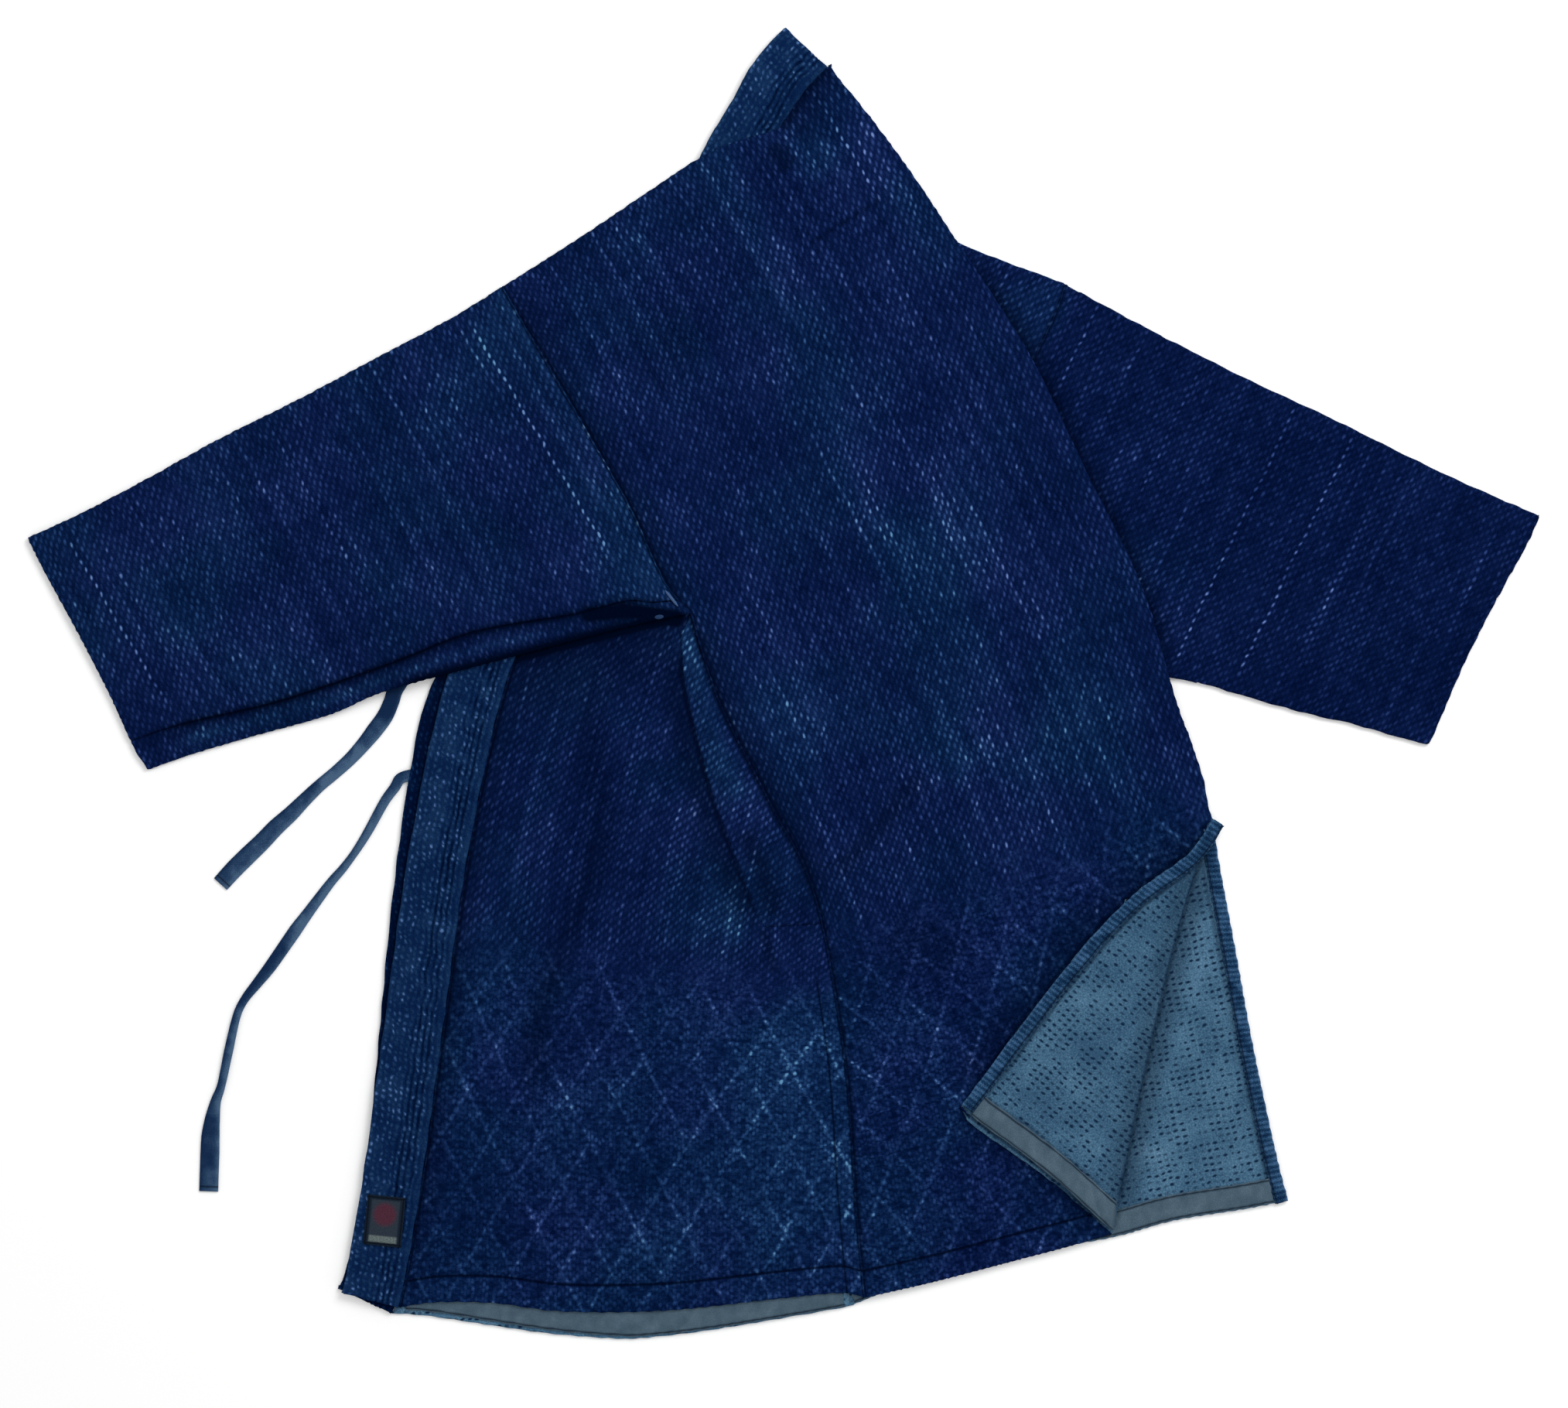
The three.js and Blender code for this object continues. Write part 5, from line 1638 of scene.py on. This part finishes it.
# %% [markdown]
# ## The folded corner of the vent
#
# One corner of the panel is folded up and over, and shows the pale inside, its binding and its
# hem tape. The panel could be bent with a modifier, but its outline changes where it folds. So the
# corner is a panel of its own in the same mesh, with its own warp, and it is round where it folds.

# %% The folded corner of the vent
FLAP_TAPE_FROM, FLAP_TAPE_TO = 1.8, FLAP_TAPE_WIDTH + 2
flap = panel(
    (
        back(joined(EDGE["flap_vent"], smooth(FLAP_CORNER, (142, -331)))),
        EDGE["vent_turn"],
        EDGE["flap_hem"],
        tip(VENT_TOP),
    ),
    raised("back_left", True), bent((330, -100), 300, -131),
    [("right", "fold", 0, 4.3), ("low", "hem", 0, 1.2)],
    material=1,
    shades=[
        # The fold, the foot of the binding, and both edges of the hem tape.
        *shade_beside(EDGE["vent_turn"], (1.0, 2.6, 0.9), (5, 16, 0.4)),
        *shade_beside(EDGE["flap_vent"], (BINDING_SHADE, 2.6, 0.9)),
        *shade_beside(EDGE["flap_hem"], (0.6, 2.2, 0.97), (21, 2.4, 0.5)),
    ],
    faded=-0.1, wave=0.5, seed=32,
)
laid(
    "back_left", [back_main, flap], CLOTH, [BACK_CLOTH, INSIDE, BACK_CLOTH],
)
laid(
    "vent_binding_left",
    [strip(EDGE["flap_vent"], -BINDING_OVERLAP, BINDING_WIDTH + BINDING_OVERLAP,
           raised("vent_binding_left", True), BOUND)],
    TAPE, [BINDING_CLOTH],
)
laid(
    "hem_tape_back_left",
    [strip(part_of(EDGE["flap_hem"], 0.085, 1.0), FLAP_TAPE_FROM, FLAP_TAPE_TO,
           raised("hem_tape_back_left", True), TAPED, fence=EDGE["vent_turn"],
           shades=shade_beside(EDGE["vent_turn"], (1.0, 3.0, 0.7)))],
    TAPE, [TAPE_CLOTH],
)

# %% [markdown]
# ## Ties
#
# The ties are flat tapes that twist and crumple. Curves with a bevel could make them, but a twisted
# tape is narrower here and wider there. So each tie is a strip with a width of its own at every
# place: the numbers are x, y and width. Where a tie turns, a streak of painted highlight or painted
# shade lies on it, paler or darker: its start and end are shares of the tie's length, and then
# comes its amount.

# %% Ties
TIE_THICK = 1.5
TIES = {
    "left": [(-247, 30, 13), (-268, 22, 13), (-284, 12, 12), (-296, -3, 12), (-300, -14, 12),
             (-305, -25, 12.5), (-313, -36, 12.5), (-321, -46, 11), (-331, -57, 10), (-343, -68, 9.5),
             (-355, -78, 9.5), (-366.5, -89, 10.5), (-377, -99.6, 12), (-388.5, -110, 13),
             (-399, -121, 13.5), (-410, -131.6, 14), (-420.5, -142, 14), (-431, -153.5, 13.5)],
    "right": [(-279, -70, 9.5), (-287, -70.5, 9), (-293.5, -73, 8.5), (-297, -79, 8), (-305, -90, 7.5),
              (-316, -110, 7), (-322.5, -121, 6.4), (-329.5, -131.5, 5.8), (-337.5, -142, 6.4),
              (-347, -153, 7), (-364.5, -176.5, 8.6), (-374, -189.6, 10), (-392, -215.6, 9.4),
              (-402, -228.5, 8), (-412.5, -242, 6.4), (-418.5, -255, 6.2), (-424.5, -281, 7),
              (-430, -307, 6.4), (-434.5, -320, 8), (-437, -333, 11.5), (-438.5, -346, 14),
              (-439, -359, 14.6), (-440, -389, 14.6)],
}
TIED = [("low", "hem", 0, 0.7), ("high", "hem", 0, 0.7), ("right", "hem", 0, 0.6),
        ("low", "worn", 3.0, 0.3), ("high", "worn", 2.5, -0.25), ("right", "stitch", 3.5, 0.3)]
# Streaks of painted highlight and painted shade where each tie turns.
TIE_TURN_SHADING = {
    "left": [(0.0, 0.34, -0.55), (0.42, 0.6, 0.25)],
    "right": [(0.05, 0.45, 0.16), (0.45, 0.62, -0.25), (0.84, 0.96, -0.25)],
}


def tie_panel(half):
    """A flat tie, as wide as it lies at each place."""
    places = np.array(TIES[half], float)
    middle = smooth(*places[:, :2])
    width = np.interp(np.linspace(0, 1, len(middle)), np.linspace(0, 1, len(places)), places[:, 2])
    side = width[:, None] / 2
    runs = [(part_of(middle, start, end), 14, amount) for start, end, amount in TIE_TURN_SHADING[half]]
    return strip(middle, side, -side, raised(f"tie_{half}", True), TIED, 2.0, fray=0.0, streaks=runs,
                 wave=0.0)


for half in ("left", "right"):
    laid(f"tie_{half}", [tie_panel(half)], TIE_THICK, [TIE_CLOTH])

# %% [markdown]
# ## Label
#
# A small woven patch is sewn on near the foot of the collar band. It could be a plane with an
# image, but it has a thickness and a sewn rim. So it is a panel like the others, between four
# straight edges, with a stitch round it.

# %% Label
LABEL_AT = (-304.7, -410.8)
LABEL_TURN = -0.1
c, s = math.cos(LABEL_TURN), math.sin(LABEL_TURN)
corners = np.array([[-1, -1], [1, -1], [1, 1], [-1, 1]]) * np.array(LABEL_SIZE) / 2
corners = corners @ np.array([[c, s], [-s, c]]) + np.array(LABEL_AT)
low_left, low_right, high_right, high_left = corners
laid(
    "label",
    [panel(
        (smooth(low_left, high_left), smooth(low_right, high_right), smooth(low_left, low_right),
         smooth(high_left, high_right)),
        raised("label", True), smooth((high_left + high_right) / 2, (low_left + low_right) / 2),
        [(side, "stitch", 1.3, 0.2) for side in ("left", "right", "low", "high")],
        step=1.5, wave=0.0,
    )],
    TAPE, [LABEL_CLOTH],
)

# %% [markdown]
# ## Bar tacks
#
# Where a seam ends and is pulled at, a few stitches are sewn over each other in pale thread. Each
# thread could be a curve, but they are too fine to be told apart. So each tack is one small bundle
# of thread: a sphere drawn out between two points.

# %% Tacks
TACK_FLATNESS = 3
UNDERARM_RISE, HOLLOW_RISE = 0.8, 0.3


def tack(name, start, end, width, height, material):
    """A bundle of thread from one point to another, lying at a height in millimetres."""
    start, end = Vector((*start, height)), Vector((*end, height))
    mesh = bpy.data.meshes.new(name)
    bm = bmesh.new()
    bm.loops.layers.uv.new("weave")
    bmesh.ops.create_uvsphere(bm, u_segments=24, v_segments=12, radius=1.0)
    way = (end - start).normalized()
    for vert in bm.verts:
        x, y, z = vert.co
        place = (start + end) / 2 + way * x * (end - start).length / 2
        place += Vector((-way.y, way.x, 0)) * y * width / 2
        vert.co = (place + Vector((0, 0, z * width / TACK_FLATNESS))) * MM
    for face in bm.faces:
        face.smooth = True
    bm.to_mesh(mesh)
    bm.free()
    made = placed(name, mesh)
    mesh.materials.append(material)
    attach(made, "root")
    print(f"{name}: {len(mesh.polygons)} faces at a height of {height:.1f} mm")


top_of_sleeve = relief("sleeve_left", True)
at_underarm = float(top_of_sleeve(np.array([-83.0, 64.0]))) + UNDERARM_RISE
in_hollow = float(top_of_sleeve(np.array([-94.0, 51.0]))) + HOLLOW_RISE
tack("underarm_tack", (-90, 71.5), (-80, 59), 2.2, at_underarm, PALE_THREAD)
# The tack in the hollow gets the darker copy of the thread: painted shade.
tack("hollow_tack", (-98, 50.6), (-91, 51.4), 3.4, in_hollow, SHADED_THREAD)

# %% [markdown]
# ## The floor
#
# The jacket lies on a plain pale floor. A white background alone would show no shadow, and then
# the jacket would seem to float. The floor is matt and glows very faintly, so that it stays nearly
# white next to the dark cloth, and it lies a hair below the jacket, so that the two don't flicker.

# %% Floor
FLOOR_HALF = 3.0
FLOOR_BELOW = 0.0002
FLOOR_GLOW = 0.1
floor_mesh = bpy.data.meshes.new("floor")
bm = bmesh.new()
bmesh.ops.create_grid(bm, x_segments=1, y_segments=1, size=FLOOR_HALF)
bm.to_mesh(floor_mesh)
bm.free()
floor = placed("floor", floor_mesh)
floor.location.z = -FLOOR_BELOW
paint = bpy.data.materials.new("pale matt paint")
paint.use_nodes = True
shader = paint.node_tree.nodes["Principled BSDF"]
shader.inputs["Base Color"].default_value = linear("#fdfdfd")
shader.inputs["Roughness"].default_value = 1.0
shader.inputs["Specular IOR Level"].default_value = 0.0
shader.inputs["Emission Color"].default_value = (1, 1, 1, 1)
shader.inputs["Emission Strength"].default_value = FLOOR_GLOW
floor_mesh.materials.append(paint)
print("floor:", 2 * FLOOR_HALF, "m wide")

# %% [markdown]
# ## The light
#
# The jacket was seen in the even light of a room. The sky alone could light it, but then folds and
# ribs would hardly show. So most of the light comes from all round, and a large lamp to one side,
# like a window, adds the rest. The Standard view keeps the colours as the hex values say.

# %% Light
SKY_STRENGTH = 0.7
WINDOW_SIZE = (1.6, 1.2)
WINDOW_POWER = 42
WINDOW_AT = (1.3, 1.5, 2.0)
world = bpy.data.worlds.new("soft room")
world.use_nodes = True
world.node_tree.nodes["Background"].inputs["Color"].default_value = (1, 1, 1, 1)
world.node_tree.nodes["Background"].inputs["Strength"].default_value = SKY_STRENGTH
bpy.context.scene.world = world
window = bpy.data.lights.new("window", "AREA")
window.shape = "RECTANGLE"
window.size, window.size_y = WINDOW_SIZE
window.energy = WINDOW_POWER
lamp = placed("window", window)
lamp.location = WINDOW_AT
lamp.rotation_euler = (-Vector(WINDOW_AT)).to_track_quat("-Z", "Y").to_euler()
bpy.context.scene.view_settings.view_transform = "Standard"
print("window:", WINDOW_POWER, "W")

# %% [markdown]
# ## The camera
#
# The camera looks straight down. It could be orthographic, but a real one is not. From 3 m up, the
# few millimetres of the cloth's height hardly shift anything. The lens is worked out from how wide
# one pixel of the photo is on the jacket, so the picture has the same scale as the edges above.

# %% Camera
PHOTO_WIDTH = 2027
MM_PER_PIXEL = 0.592
CAMERA_HEIGHT = 3.0
MIDDLE_OF_CLOTH = 0.005
CAMERA_OVER = (0.0009, -0.0155)
SENSOR = 36.0
camera_data = bpy.data.cameras.new("camera")
camera_data.sensor_width = SENSOR
camera_data.lens = SENSOR * CAMERA_HEIGHT / (PHOTO_WIDTH * MM_PER_PIXEL * MM)
camera = placed("camera", camera_data)
camera.location = (*CAMERA_OVER, CAMERA_HEIGHT + MIDDLE_OF_CLOTH)
bpy.context.scene.camera = camera
print(f"camera: a lens of {camera_data.lens:.1f} mm, {CAMERA_HEIGHT} m above")
